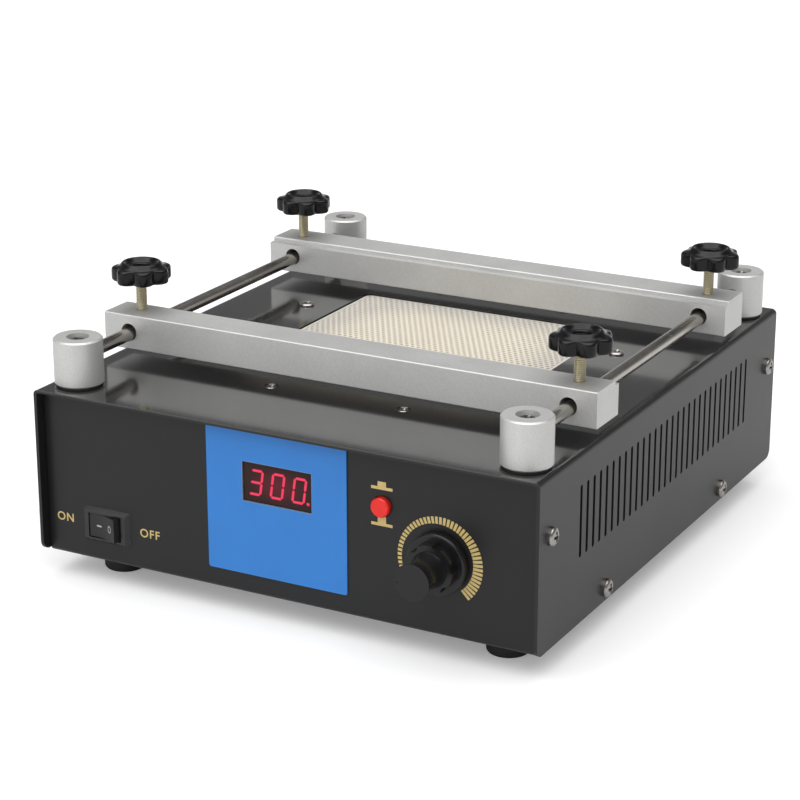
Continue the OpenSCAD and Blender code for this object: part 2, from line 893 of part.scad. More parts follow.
// Sheet tray that hangs under the cover by its lip
module heater_tray() {
    wall_h = cover_under - tray_floor;
    lip = 2 * (screw_reach + lip_margin);
    color(plated_steel)
    difference() {
        translate([0, heater_y, 0]) {
            translate([0, 0, tray_floor - tray_t])
                linear_extrude(wall_h + tray_t)
                    square([tray_in_w + 2 * tray_t, tray_in_d + 2 * tray_t], center = true);
            translate([0, 0, cover_under - tray_t]) linear_extrude(tray_t) square(lip, center = true);
        }
        translate([0, heater_y, tray_floor])
            linear_extrude(wall_h + cut) square([tray_in_w, tray_in_d], center = true);
        at_spots(plate_screw_spots, cover_under - tray_t - cut)
            cylinder(d = plate_screw_d + 2 * run_fit, h = tray_t + 2 * cut);
        translate([-tray_in_w, probe_y, probe_z])
            rotate([0, 90, 0]) cylinder(d = probe_d + 2 * run_fit, h = tray_in_w);
    }
}

// Temperature probe that lies against the underside of the plate
module thermocouple() {
    start = -tray_in_w / 2 - tray_t - probe_past;
    color(bright_steel)
    translate([start, probe_y, probe_z]) rotate([0, 90, 0]) cylinder(d = probe_d, h = probe_l);
}

module flat_screws() {
    color(plated_steel)
    at_spots(flat_screw_spots, cover_top) flat_screw(plate_screw_d, plate_screw_head, plate_screw_l);
}

module domed_screws() {
    color(plated_steel) at_spots(domed_screw_spots, cover_top) pan_screw(plate_screw_d, plate_screw_l, low_head);
}

module plate_nuts() {
    color(plated_steel)
    at_spots(plate_screw_spots, cover_under - tray_t - plate_nut_h)
        hex_nut(plate_nut_d, plate_screw_d + 2 * seat_fit, plate_nut_h);
}

// Rocker switch

// Block whose four sides lean in towards its outer face
module bezel_block() {
    in_w = bezel_w / 2 - bezel_slope;
    in_h = bezel_h / 2 - bezel_slope;
    face_y = panel_recess - bezel_out;
    intersection() {
        translate([rocker_x, 0, edge_z + rocker_z - bezel_h / 2])
            linear_extrude(bezel_h)
                polygon([
                    [-bezel_w / 2, panel_recess], [-in_w, face_y], [in_w, face_y], [bezel_w / 2, panel_recess]
                ]);
        translate([rocker_x, 0, edge_z + rocker_z])
            extrude_x(bezel_w)
                polygon([
                    [panel_recess, -bezel_h / 2], [face_y, -in_h], [face_y, in_h], [panel_recess, bezel_h / 2]
                ]);
    }
}

// Puts a piece at the rocker's pivot
module at_pivot() translate([rocker_x, panel_recess - pivot_out, edge_z + rocker_z]) children();

// Outline centred on the switch, drawn in X and Z
module switch_rect(w, h) translate([rocker_x, edge_z + rocker_z]) square([w, h], center = true);

// The switch's two blade terminals, or the slots that take them
module blades(gap) {
    for (s = [-1, 1])
        translate([rocker_x + s * blade_x, 0, edge_z + rocker_z])
            extrude_y(housing_end_y - blade_in - gap, blade_in + gap + blade_out)
                square([blade_t + 2 * gap, blade_w + 2 * gap], center = true);
}

module rocker_housing() {
    color(black_plastic)
    difference() {
        union() {
            bezel_block();
            extrude_y(panel_recess, housing_end_y - panel_recess) switch_rect(housing_w, housing_h);
        }
        extrude_y(panel_recess - bezel_out - cut, bezel_out + cut + cavity_l)
            switch_rect(cavity_w, cavity_h);
        at_pivot()
            cylinder(d = pivot_d + 2 * run_fit, h = rocker_h + 2 * (pivot_end + run_fit), center = true);
        blades(seat_fit);
    }
}

module rocker_terminals() color(bright_steel) blades(0);

// Rocker, leaning in at its left, with a hollow face and a pin at each end of its pivot
module rocker() {
    half = rocker_w / 2;
    color(black_plastic)
    at_pivot() {
        rotate([0, 0, -rocker_tilt])
        translate([0, 0, -rocker_h / 2])
        linear_extrude(rocker_h)
        difference() {
            polygon([
                [-half, -rocker_face], [half, -rocker_face], [half, rocker_side],
                [rocker_keel_w / 2, rocker_keel], [-rocker_keel_w / 2, rocker_keel], [-half, rocker_side]
            ]);
            translate([0, rocker_dip - rocker_face - rocker_dip_r]) circle(rocker_dip_r, $fn = 180);
        }
        cylinder(d = pivot_d, h = rocker_h + 2 * pivot_end, center = true);
    }
}

// Display and push button

// Outline centred on the display window, drawn in X and Z
module window_rect(w, h) translate([window_x, edge_z + window_z]) square([w, h], center = true);

module front_overlay() {
    color(overlay_blue)
    extrude_y(panel_recess - overlay_t, overlay_t)
    difference() {
        translate([overlay_x, edge_z + overlay_z]) rounded_rect(overlay_w, overlay_h, overlay_r);
        window_rect(window_w, window_h);
    }
}

module display_window() {
    color(smoked_red)
    extrude_y(panel_recess + filter_sink, sheet_t - filter_sink)
        window_rect(window_w - 2 * seat_fit, window_h - 2 * seat_fit);
}

// LED display with the header that carries it on its board
module led_display() {
    start = panel_back + seat_fit;
    color(white_fibre) {
        extrude_y(start, display_l) window_rect(display_w, display_h);
        extrude_y(start + display_l, board_y - start - display_l) window_rect(header_w, header_h);
    }
}

module display_board() {
    mid_x = (board_left + board_right) / 2;
    color(board_green)
    difference() {
        extrude_y(board_y, board_t)
            translate([mid_x, edge_z + window_z]) rounded_rect(board_w, board_h, board_r);
        for (p = board_spots)
            round_y(p.x, board_y - cut, p.y, small_screw_d + 2 * run_fit, board_t + 2 * cut);
    }
}

// Pillars between the front panel and the display board
module display_standoffs() {
    color(plated_steel)
    for (p = board_spots)
        difference() {
            round_y(p.x, panel_back, p.y, standoff_d, board_gap);
            round_y(p.x, board_y - small_screw_grip - seat_fit, p.y, small_screw_d + 2 * seat_fit, board_gap);
        }
}

module button_switch() {
    front_y = board_y - switch_l;
    bore_l = stem_in + button_travel + free_gap;
    color(black_plastic)
    difference() {
        translate([button_x, 0, edge_z + button_z])
            extrude_y(front_y, switch_l) square(switch_w, center = true);
        round_y(button_x, front_y - cut, edge_z + button_z, stem_d + 2 * run_fit, cut + bore_l);
    }
}

// Push button: a cap with a chamfered face, and the stem that enters its switch
module push_button() {
    r = button_d / 2;
    front_y = panel_recess - button_out;
    cap_l = cap_end_y - front_y;
    whole_l = board_y - switch_l + stem_in - front_y;
    color(button_red)
    translate([button_x, front_y, edge_z + button_z]) rotate([-90, 0, 0])
        rotate_extrude()
            polygon([
                [0, 0], [r - cap_edge, 0], [r, cap_edge], [r, cap_l],
                [stem_d / 2, cap_l], [stem_d / 2, whole_l], [0, whole_l]
            ]);
}

// Dial

// Puts a piece that points out of the panel at the dial's axis
module at_dial(y) translate([dial_x, y, edge_z + dial_z]) rotate([90, 0, 0]) children();

module potentiometer() {
    color(plated_steel)
    difference() {
        union() {
            at_dial(panel_back + pot_l) cylinder(d = pot_d, h = pot_l);
            at_dial(panel_back) cylinder(d = bush_d, h = sheet_t + bush_out);
            for (i = [-1 : 1])
                translate([
                    dial_x + i * lug_pitch - lug_w / 2,
                    panel_back + pot_l / 2,
                    edge_z + dial_z - pot_d / 2 - lug_l
                ])
                    cube([lug_w, lug_t, lug_l + pot_d / 4]);
        }
        at_dial(panel_back + shaft_in + run_fit)
            cylinder(d = shaft_d + 2 * run_fit, h = shaft_in + run_fit + sheet_t + bush_out + cut);
    }
}

module pot_nut() {
    color(plated_steel) at_dial(panel_recess) hex_nut(pot_nut_d, bush_d + 2 * seat_fit, pot_nut_h);
}

module pot_shaft() {
    color(bright_steel)
    at_dial(panel_back + shaft_in)
        cylinder(d = shaft_d, h = shaft_in + sheet_t + dial_cavity_l + shaft_hold);
}

// Half section of the dial knob: skirt, collar and a waisted grip that ends in a flat face
module dial_profile() {
    skirt_r = dial_d / 2;
    translate([0, dial_gap]) square([skirt_r, skirt_l - skirt_round - dial_gap]);
    translate([0, dial_gap]) square([skirt_r - skirt_round, skirt_l - dial_gap]);
    translate([skirt_r - skirt_round, skirt_l - skirt_round]) circle(skirt_round);
    translate([0, dial_gap]) square([collar_d / 2, collar_end - dial_gap]);
    difference() {
        translate([0, dial_gap]) square([face_d / 2, dial_len - dial_gap]);
        translate([neck_d / 2 + neck_arc, neck_out]) circle(neck_arc, $fn = 180);
    }
}

module dial_knob() {
    color(black_plastic)
    at_dial(panel_recess)
    difference() {
        rotate_extrude() dial_profile();
        for (i = [0 : dial_flutes - 1])
            rotate(flute_turn + i * 360 / dial_flutes)
                translate([collar_d / 2 + flute_r - flute_depth, 0, skirt_l])
                    cylinder(r = flute_r, h = dial_len);
        translate([0, 0, -cut]) cylinder(d = dial_cavity_d, h = dial_cavity_l + cut);
        cylinder(d = shaft_d + 2 * seat_fit, h = dial_cavity_l + shaft_hold + seat_fit);
    }
}

// Mains inlet

// Outline of the inlet's mouth, with its two cut corners at the top
module inlet_mouth() {
    w = inlet_mouth_w / 2;
    h = inlet_mouth_h / 2;
    c = inlet_mouth_cut;
    polygon([[-w, -h], [w, -h], [w, h - c], [w - c, h], [-w + c, h], [-w, h - c]]);
}

// The inlet's pins, or the slots in its back that take them, about the inlet's axis
module pins(gap) {
    front_y = rear_panel_y + inlet_flange_t - inlet_mouth_l;
    back_y = rear_panel_y - inlet_body_l - pin_tail;
    for (p = pin_spots)
        translate([p.x, 0, p.y])
            extrude_y(back_y, front_y + pin_l - back_y)
                square([pin_w + 2 * gap, pin_h + 2 * gap], center = true);
}

module mains_inlet() {
    mouth_y = rear_panel_y + inlet_flange_t;
    color(black_plastic)
    translate([inlet_x, 0, edge_z + inlet_z])
    difference() {
        union() {
            extrude_y(rear_panel_y, inlet_flange_t)
                rounded_rect(inlet_flange_w, inlet_flange_h, inlet_flange_r);
            extrude_y(rear_panel_y - inlet_body_l, inlet_body_l)
                square([inlet_body_w, inlet_body_h], center = true);
        }
        extrude_y(mouth_y - inlet_mouth_l, inlet_mouth_l + cut) inlet_mouth();
        pins(seat_fit);
        for (s = [-1, 1])
            round_y(s * inlet_screw_x, rear_panel_y - cut, 0,
                inlet_screw_d + 2 * run_fit, inlet_flange_t + 2 * cut);
    }
}

module inlet_pins() color(bright_steel) translate([inlet_x, 0, edge_z + inlet_z]) pins(0);

module inlet_screws() {
    color(plated_steel)
    for (s = [-1, 1])
        translate([inlet_x + s * inlet_screw_x, rear_panel_y + inlet_flange_t, edge_z + inlet_z])
            rotate([-90, 0, 0]) pan_screw(inlet_screw_d, inlet_screw_l);
}

// Electronics on the floor

module control_board() {
    color(board_green)
    difference() {
        translate([card_x, card_y, card_z]) linear_extrude(board_t) rounded_rect(card_w, card_d, board_r);
        at_spots(card_spots, card_z - cut) cylinder(d = small_screw_d + 2 * run_fit, h = board_t + 2 * cut);
    }
}

module board_standoffs() {
    color(plated_steel)
    at_spots(card_spots, floor_z)
        difference() {
            cylinder(d = card_standoff_d, h = card_rise);
            translate([0, 0, -cut]) cylinder(d = small_screw_d + 2 * seat_fit, h = card_rise + 2 * cut);
        }
}

// Capacitors, terminal block, controller chip and relay on the control board
module board_components() {
    color(core_grey)
    translate([card_x, card_y, card_top]) {
        at_spots(capacitor_spots, 0) cylinder(d = capacitor_d, h = capacitor_h);
        translate(terminal_spot) cube(terminal_size);
        translate(chip_spot) cube(chip_size);
        translate(relay_spot) cube(relay_size);
    }
}

// Screws from under the floor, and those that hold the two boards on their standoffs
module inner_screws() {
    color(plated_steel) {
        at_spots(floor_screw_spots, foot_h) mirror([0, 0, 1]) pan_screw(small_screw_d, floor_screw_l);
        at_spots(card_spots, card_top) pan_screw(small_screw_d, board_t + small_screw_grip);
        for (p = board_spots)
            translate([p.x, board_y + board_t, p.y])
                rotate([-90, 0, 0]) pan_screw(small_screw_d, board_t + small_screw_grip);
    }
}

// Laminated core with two windows for the coil
module transformer_core() {
    window = (core_w - 4 * core_leg) / 2;
    color(core_grey)
    translate([core_x, 0, floor_z])
    extrude_y(core_y - core_t / 2, core_t)
    difference() {
        translate([-core_w / 2, 0]) square([core_w, core_h]);
        for (s = [-1, 1])
            translate([s * (core_leg + window / 2), core_h / 2])
                square([window, core_h - 2 * core_leg], center = true);
    }
}

module transformer_coil() {
    height = core_h - 2 * core_leg - 2 * coil_gap;
    color(copper)
    translate([core_x, core_y, floor_z + core_leg + coil_gap])
    linear_extrude(height)
    difference() {
        square([core_w - 2 * core_leg - 2 * coil_gap, coil_t], center = true);
        square([2 * (core_leg + coil_gap), core_t + 2 * coil_gap], center = true);
    }
}

// Section of the strap that holds the transformer down, with a foot on each side
module strap_section() {
    in_x = core_w / 2;
    out_x = in_x + strap_t;
    end_x = out_x + strap_foot;
    top = core_h + strap_t;
    polygon([
        [-end_x, 0], [-in_x, 0], [-in_x, core_h], [in_x, core_h], [in_x, 0], [end_x, 0],
        [end_x, strap_t], [out_x, strap_t], [out_x, top], [-out_x, top], [-out_x, strap_t], [-end_x, strap_t]
    ]);
}

module transformer_strap() {
    color(plated_steel)
    difference() {
        translate([core_x, 0, floor_z]) extrude_y(core_y - strap_w / 2, strap_w) strap_section();
        at_spots(floor_screw_spots, floor_z - cut)
            cylinder(d = small_screw_d + 2 * seat_fit, h = strap_t + 2 * cut);
    }
}

// Finned heat sink with a flat in its middle for the triac
module heat_sink() {
    pitch = (sink_w - fin_t) / (fin_count - 1);
    color(satin_aluminium)
    translate([sink_x, 0, 0])
    difference() {
        extrude_y(sink_y - sink_d / 2, sink_d) {
            translate([-sink_w / 2, floor_z]) square([sink_w, sink_base]);
            for (i = [0 : fin_count - 1])
                translate([-sink_w / 2 + i * pitch, floor_z]) square([fin_t, sink_h]);
        }
        translate([-sink_flat / 2, sink_y - sink_d / 2 - cut, floor_z + sink_base])
            cube([sink_flat, sink_d + 2 * cut, sink_h]);
        for (s = [-1, 1])
            translate([s * sink_screw_x, sink_y, floor_z - cut])
                cylinder(d = small_screw_d + 2 * seat_fit, h = cut + floor_screw_l - sheet_t + seat_fit);
    }
}

module triac() {
    color(black_plastic)
    translate([sink_x - triac_w / 2, sink_y - triac_l / 2, floor_z + sink_base])
        cube([triac_w, triac_l, triac_t]);
}

place() cover();
place() base_tray();
place() side_screws();
place() feet();
place() foot_screws();
place() foot_nuts();
place() post(-1, 1);  // post_front_left
place() post(1, 1);  // post_front_right
place() post(-1, -1);  // post_rear_left
place() post(1, -1);  // post_rear_right
place() post_washers();
place() post_clamp_screws();
place() post_base_screws();
place() rod(-1);  // rod_left
place() rod(1);  // rod_right
place() front_bar();
place() rear_bar();
place() stud(-1, front_bar_y);  // stud_front_left
place() stud(1, front_bar_y);  // stud_front_right
place() stud(-1, rear_bar_y);  // stud_rear_left
place() stud(1, rear_bar_y);  // stud_rear_right
place() star_knob(-1, front_bar_y);  // knob_front_left
place() star_knob(1, front_bar_y);  // knob_front_right
place() star_knob(-1, rear_bar_y);  // knob_rear_left
place() star_knob(1, rear_bar_y);  // knob_rear_right
place() heater_plate();
place() heating_tubes();
place() tube_supports();
place() insulation_pad();
place() heater_tray();
place() thermocouple();
place() flat_screws();
place() domed_screws();
place() plate_nuts();
place() rocker_housing();
place() rocker_terminals();
place() rocker();
place() front_overlay();
place() display_window();
place() led_display();
place() display_board();
place() display_standoffs();
place() button_switch();
place() push_button();
place() potentiometer();
place() pot_nut();
place() pot_shaft();
place() dial_knob();
place() mains_inlet();
place() inlet_pins();
place() inlet_screws();
place() control_board();
place() board_standoffs();
place() board_components();
place() inner_screws();
place() transformer_core();
place() transformer_coil();
place() transformer_strap();
place() heat_sink();
place() triac();
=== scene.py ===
import json
import math

import bmesh
import bpy
from bpy.props import FloatProperty, FloatVectorProperty, IntProperty, PointerProperty
from mathutils import Matrix, Vector


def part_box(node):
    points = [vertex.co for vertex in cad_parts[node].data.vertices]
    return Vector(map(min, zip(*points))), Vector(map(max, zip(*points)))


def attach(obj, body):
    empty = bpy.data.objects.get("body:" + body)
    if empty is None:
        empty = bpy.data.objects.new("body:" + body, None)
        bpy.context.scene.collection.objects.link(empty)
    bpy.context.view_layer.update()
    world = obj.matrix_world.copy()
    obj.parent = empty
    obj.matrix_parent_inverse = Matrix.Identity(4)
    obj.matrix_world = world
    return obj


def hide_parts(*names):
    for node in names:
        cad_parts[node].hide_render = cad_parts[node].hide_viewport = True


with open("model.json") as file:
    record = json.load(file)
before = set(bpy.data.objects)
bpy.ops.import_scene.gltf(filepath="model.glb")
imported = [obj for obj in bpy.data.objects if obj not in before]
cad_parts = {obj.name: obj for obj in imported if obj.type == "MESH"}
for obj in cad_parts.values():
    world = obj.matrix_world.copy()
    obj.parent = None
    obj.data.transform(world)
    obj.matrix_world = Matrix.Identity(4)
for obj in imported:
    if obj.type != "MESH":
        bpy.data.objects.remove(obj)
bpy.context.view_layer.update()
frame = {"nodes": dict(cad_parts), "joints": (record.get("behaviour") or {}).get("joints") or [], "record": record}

bl_info = {
    "name": "PCB preheater",
    "version": (1, 0, 0),
    "blender": (4, 5, 0),
    "location": "View3D > Sidebar > Preheater",
    "description": "Dresses the packed preheater with finishes, marks, threads, screw heads and cells",
    "category": "Object",
}

MM = 0.001
PRINT_T = 0.04 * MM
# Place of the colour among the outputs of a Mix node
COLOUR_OUTPUT = 2
NODE_SLOTS = {row["node"]: row["material_slot"] for row in frame["record"]["subparts"]}
FINISH_OF_NODE = {"cover": "gloss_paint", "dial_knob": "dial_black", "rocker_housing": "bezel_black"}
# Length of one band of a Wave texture whose scale is 1
WAVE_LENGTH = 0.314
# Angle from which an edge stays sharp
CREASE = math.radians(35)
THUMBSCREWS = ("front_left", "front_right", "rear_left", "rear_right")


# Sizes and colours


def size(name, description, default):
    return FloatProperty(
        name=name, description=description, default=default * MM, unit="LENGTH", precision=5
    )


def degrees(name, description, default):
    return FloatProperty(
        name=name, description=description, default=math.radians(default), subtype="ANGLE"
    )


def colour(name, description, default):
    return FloatVectorProperty(
        name=name, description=description, default=default, subtype="COLOR", size=3, min=0, max=1
    )


def brightness(name, description, default):
    return FloatProperty(name=name, description=description, default=default, min=0)


class PREHEATER_PG_print(bpy.types.PropertyGroup):
    gold: colour("Gold", "Colour of the printed marks on the front panel", (0.57, 0.43, 0.16))
    word_h: size("Word height", "Height of the capitals beside the switch", 4.0)
    word_gap: size("Word gap", "Distance from the switch's middle to the middle of each word", 22.5)
    tick_count: IntProperty(name="Ticks", description="Number of ticks round the dial", default=44, min=2)
    tick_w: size("Tick width", "Width of one tick of the dial's scale", 1.2)
    scale_r: size("Scale radius", "Outer radius of the dial's scale", 19.6)
    first_tick: size("First tick", "Length of the tick at the low end of the scale", 1.7)
    last_tick: size("Last tick", "Length of the tick at the high end of the scale", 5.0)
    scale_start: degrees("Scale start", "Angle of the scale's low end", 197)
    scale_sweep: degrees("Scale sweep", "Angle that the scale spans", 243)
    push_bar_w: size("Push mark width", "Width of the bar in the marks over and under the button", 10.0)
    push_rise: size("Push mark rise", "Distance of those bars from the button's middle", 8.0)


class PREHEATER_PG_display(bpy.types.PropertyGroup):
    lit: colour("Lit segments", "Colour of the glowing segments", (0.58, 0.009, 0.05))
    glow: colour("Glow", "Colour of the glow behind the filter", (0.085, 0.003, 0.011))
    blue: colour("Overlay", "Colour of the panel's overlay", (0.016, 0.172, 0.53))
    digit_h: size("Digit height", "Height of a digit", 11.9)
    digit_w: size("Digit width", "Width of a digit", 6.6)
    digit_pitch: size("Digit pitch", "Distance from one digit to the next", 10.6)
    stroke: size("Stroke", "Width of a segment", 1.15)
    slant: degrees("Slant", "Lean of the digits", 8)


class PREHEATER_PG_plate(bpy.types.PropertyGroup):
    cream: colour("Ceramic", "Colour of the walls in the plate's middle", (0.835, 0.79, 0.685))
    pale: colour("Pale ceramic", "Colour of the walls near the plate's edge", (0.62, 0.605, 0.575))
    # Brown painted as shade at the bottom of the cells; the random stains on the walls lean towards it too
    pit_shade_and_stain: colour("Deep ceramic", "Colour at the bottom of the cells", (0.58, 0.51, 0.40))
    columns: IntProperty(name="Columns", description="Number of cells across the plate", default=43, min=4)
    rows: IntProperty(name="Rows", description="Number of cells from front to back", default=49, min=4)
    border: size("Border", "Width of the plain border round the cells", 0.7)
    corner: size("Corner", "Radius of the plate's corners", 3.0)
    pit: size("Pit depth", "Depth of a cell", 1.0)
    opening: FloatProperty(
        name="Opening", description="Share of a cell's width that is open", default=0.64, min=0.1, max=0.95
    )


class PREHEATER_PG_metal(bpy.types.PropertyGroup):
    paint: colour("Paint", "Colour of the housing's paint", (0.010, 0.010, 0.0105))
    aluminium: colour("Aluminium", "Colour of the posts and bars", (0.555, 0.555, 0.545))
    zinc: colour("Yellow zinc", "Colour of the studs", (0.63, 0.58, 0.43))
    thread_pitch: size("Thread pitch", "Pitch of the studs' thread", 0.95)
    thread_depth: size("Thread depth", "Depth of the studs' thread", 0.55)


class PREHEATER_PG_stage(bpy.types.PropertyGroup):
    floor: colour("Floor", "Colour of the floor", (0.85, 0.85, 0.85))
    sun: brightness("Key light", "Strength of the key light", 1.9)
    ambient: brightness("Ambient", "Strength of the light from all round", 0.5)
    softbox: brightness("Softbox", "Strength of the softbox overhead in mirrored light", 1.5)
    lens: FloatProperty(
        name="Lens", description="Focal length on a 36 mm sensor", default=107.93, unit="CAMERA"
    )


class PREHEATER_PG_settings(bpy.types.PropertyGroup):
    marks: PointerProperty(type=PREHEATER_PG_print)
    display: PointerProperty(type=PREHEATER_PG_display)
    plate: PointerProperty(type=PREHEATER_PG_plate)
    metal: PointerProperty(type=PREHEATER_PG_metal)
    stage: PointerProperty(type=PREHEATER_PG_stage)


# Node trees


class Socket:
    """A node's output. Maths on it reads as a Python expression and adds Math nodes to its tree."""

    def __init__(self, tree, output):
        self.tree = tree
        self.output = output

    def maths(self, operation, first, second):
        return add_node(self.tree, "ShaderNodeMath", {"operation": operation}, {0: first, 1: second})

    def __add__(self, other):
        return self.maths("ADD", self, other)

    def __sub__(self, other):
        return self.maths("SUBTRACT", self, other)

    def __rsub__(self, other):
        return self.maths("SUBTRACT", other, self)

    def __mul__(self, other):
        return self.maths("MULTIPLY", self, other)

    def __truediv__(self, other):
        return self.maths("DIVIDE", self, other)

    __radd__ = __add__
    __rmul__ = __mul__

    def twin(self, name):
        """Another output of the same node."""
        return Socket(self.tree, self.output.node.outputs[name])


def add_node(tree, kind, settings=None, sockets=None, output=0):
    """Adds a node: its settings first, then the values or links of its sockets. Returns one output."""
    made = tree.nodes.new(kind)
    for key, value in (settings or {}).items():
        setattr(made, key, value)
    for key, value in (sockets or {}).items():
        if isinstance(value, Socket):
            tree.links.new(value.output, made.inputs[key])
        else:
            made.inputs[key].default_value = value
    return Socket(tree, made.outputs[output]) if made.outputs else made


class Tree:
    """An emptied node tree that nodes are added to."""

    def __init__(self, tree):
        self.tree = tree
        tree.nodes.clear()

    def node(self, kind, settings=None, sockets=None, output=0):
        return add_node(self.tree, kind, settings, sockets, output)

    def ramp(self, value, start, end, low=0.0, high=1.0, smooth=False):
        """A value that runs from low to high while another runs from start to end."""
        settings = {"interpolation_type": "SMOOTHSTEP"} if smooth else None
        return self.node("ShaderNodeMapRange", settings, {
            "Value": value, "From Min": start, "From Max": end, "To Min": low, "To Max": high,
        })


class Finish(Tree):
    """A procedural material on Object coordinates, in metres, in place of any other of its name."""

    def __init__(self, name):
        plainer = bpy.data.materials.get(name)
        self.material = bpy.data.materials.new(name)
        if plainer is not None:
            plainer.user_remap(self.material)
            bpy.data.materials.remove(plainer)
            self.material.name = name
        self.material.use_nodes = True
        super().__init__(self.material.node_tree)
        self.place = self.node("ShaderNodeTexCoord", output="Object")

    def noise(self, grain, detail=2.0, stretch=(1, 1, 1)):
        """Noise from 0 to 1 whose grains are about that many metres across, stretched along each axis."""
        squeeze = [1 / s for s in stretch]
        mapped = self.node("ShaderNodeMapping", None, {"Vector": self.place, "Scale": squeeze})
        return self.node(
            "ShaderNodeTexNoise", None, {"Vector": mapped, "Scale": 1 / grain, "Detail": detail}, "Fac"
        )

    def within(self, middle, half):
        """Place as seen from the middle of a box, in shares of its half sizes."""
        return self.node("ShaderNodeMapping", {"vector_type": "TEXTURE"}, {
            "Vector": self.place, "Location": middle, "Scale": half,
        })

    def blend(self, share, low, high):
        """Colour between two others."""
        return self.node("ShaderNodeMix", {"data_type": "RGBA"}, {
            "Factor": share, "A": as_rgba(low), "B": as_rgba(high),
        }, COLOUR_OUTPUT)

    def tint(self, share, shade, low, high):
        """Colour between two strengths of one shade."""
        return self.blend(share, shaded(shade, low), shaded(shade, high))

    def bump(self, height, depth):
        """Normal of a relief of that many metres."""
        return self.node("ShaderNodeBump", None, {"Height": height, "Distance": depth, "Strength": 1.0})

    def surface(self, sockets):
        """Ends the material in a Principled shader."""
        shader = self.node("ShaderNodeBsdfPrincipled", None, sockets)
        self.node("ShaderNodeOutputMaterial", None, {"Surface": shader})
        return self.material


def as_rgba(shade):
    if isinstance(shade, Socket):
        return shade
    return (*shade[:3], 1.0)


def shaded(shade, share):
    """A colour made lighter or darker."""
    return tuple(min(1.0, c * share) for c in shade[:3])


# Finishes


def paint_finish(name, shade, ior, polished=None):
    """Sprayed paint: faint clouds in colour and gloss, and orange peel. It is polished above a height."""
    f = Finish(name)
    shine = 0.0
    if polished is not None:
        height = f.node("ShaderNodeSeparateXYZ", None, {"Vector": f.place}, "Z")
        shine = f.ramp(height, polished - 0.8 * MM, polished)
    clouds = f.noise(60 * MM, 3)
    peel = f.noise(1.1 * MM, 1)
    specks = f.noise(0.35 * MM, 1)
    return f.surface({
        "Base Color": f.tint(clouds * 0.6 + specks * 0.4, shade, 0.75, 1.3),
        "Roughness": 0.30 + 0.07 * clouds + 0.05 * specks - 0.20 * shine,
        "Coat Weight": shine,
        "Coat Roughness": 0.09,
        "Coat IOR": 1.7,
        "IOR": ior,
        "Normal": f.bump(peel, 0.012 * MM),
    })


def blasted_finish(name, shade, gloss):
    """Bead-blasted aluminium: a fine matt grain with broader clouds of wear."""
    f = Finish(name)
    grain = f.noise(0.45 * MM, 2)
    clouds = f.noise(22 * MM, 3)
    return f.surface({
        "Base Color": f.tint(grain * 0.7 + clouds * 0.3, shade, 0.70, 1.3),
        "Metallic": 0.55,
        "Roughness": gloss + 0.10 * clouds + 0.06 * grain,
        "Normal": f.bump(grain, 0.03 * MM),
    })


def drawn_finish(name, shade, gloss, stretch):
    """Drawn or turned metal: hairlines along one way, and a few dull patches."""
    f = Finish(name)
    hairs = f.noise(0.18 * MM, 2, stretch)
    patches = f.noise(9 * MM, 3)
    return f.surface({
        "Base Color": f.tint(patches * 0.7 + hairs * 0.3, shade, 0.8, 1.12),
        "Metallic": 1.0,
        "Roughness": gloss + 0.12 * patches + 0.06 * hairs,
        "Normal": f.bump(hairs, 0.004 * MM),
    })


def moulded_finish(name, shade, gloss, relief=0.006, specular=0.38, dot=None):
    """Moulded plastic or rubber: a fine skin, with gloss that varies a little. A dot is dark and dull."""
    f = Finish(name)
    skin = f.noise(0.5 * MM, 2)
    clouds = f.noise(12 * MM, 2)
    base = f.tint(clouds, shade, 0.8, 1.25)
    roughness = gloss + 0.10 * clouds + 0.04 * skin
    if dot is not None:
        spot, radius = dot
        away = f.node("ShaderNodeVectorMath", {"operation": "DISTANCE"}, {0: f.place, 1: spot}, "Value")
        mark = f.ramp(away, 0.8 * radius, 1.1 * radius, 1.0, 0.0)
        base = f.blend(mark, base, shaded(shade, 0.2))
        roughness = roughness + 0.3 * mark
    return f.surface({
        "Base Color": base,
        "Roughness": roughness,
        "Specular IOR Level": specular,
        "Normal": f.bump(skin, relief * MM),
    })


def dial_index():
    """Place and radius of the index dot near the edge of the dial's face."""
    middle, face = middle_of("dial_knob"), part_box("dial_knob")[0].y
    turn, reach, radius = math.radians(189), 6.6 * MM, 0.55 * MM
    return (middle.x + reach * math.cos(turn), face, middle.z + reach * math.sin(turn)), radius


def fibre_finish(name, shade):
    """Pressed ceramic fibre: a felted, matt surface."""
    f = Finish(name)
    felt = f.noise(0.9 * MM, 4, (3, 1, 1))
    clouds = f.noise(14 * MM, 3)
    return f.surface({
        "Base Color": f.tint(felt * 0.6 + clouds * 0.4, shade, 0.72, 1.08),
        "Roughness": 0.85 + 0.1 * felt,
        "Normal": f.bump(felt, 0.25 * MM),
    })


def layered_finish(name, shade, layer, metallic, axis):
    """Stacked sheets or windings: fine stripes across one axis."""
    f = Finish(name)
    stripes = f.node(
        "ShaderNodeTexWave",
        {"wave_type": "BANDS", "bands_direction": axis},
        {"Vector": f.place, "Scale": WAVE_LENGTH / layer, "Distortion": 0.4, "Detail": 1.0},
        "Fac",
    )
    clouds = f.noise(5 * MM, 2)
    return f.surface({
        "Base Color": f.tint(stripes * 0.7 + clouds * 0.3, shade, 0.55, 1.2),
        "Metallic": metallic,
        "Roughness": 0.42 + 0.15 * clouds,
        "Normal": f.bump(stripes, 0.08 * MM),
    })


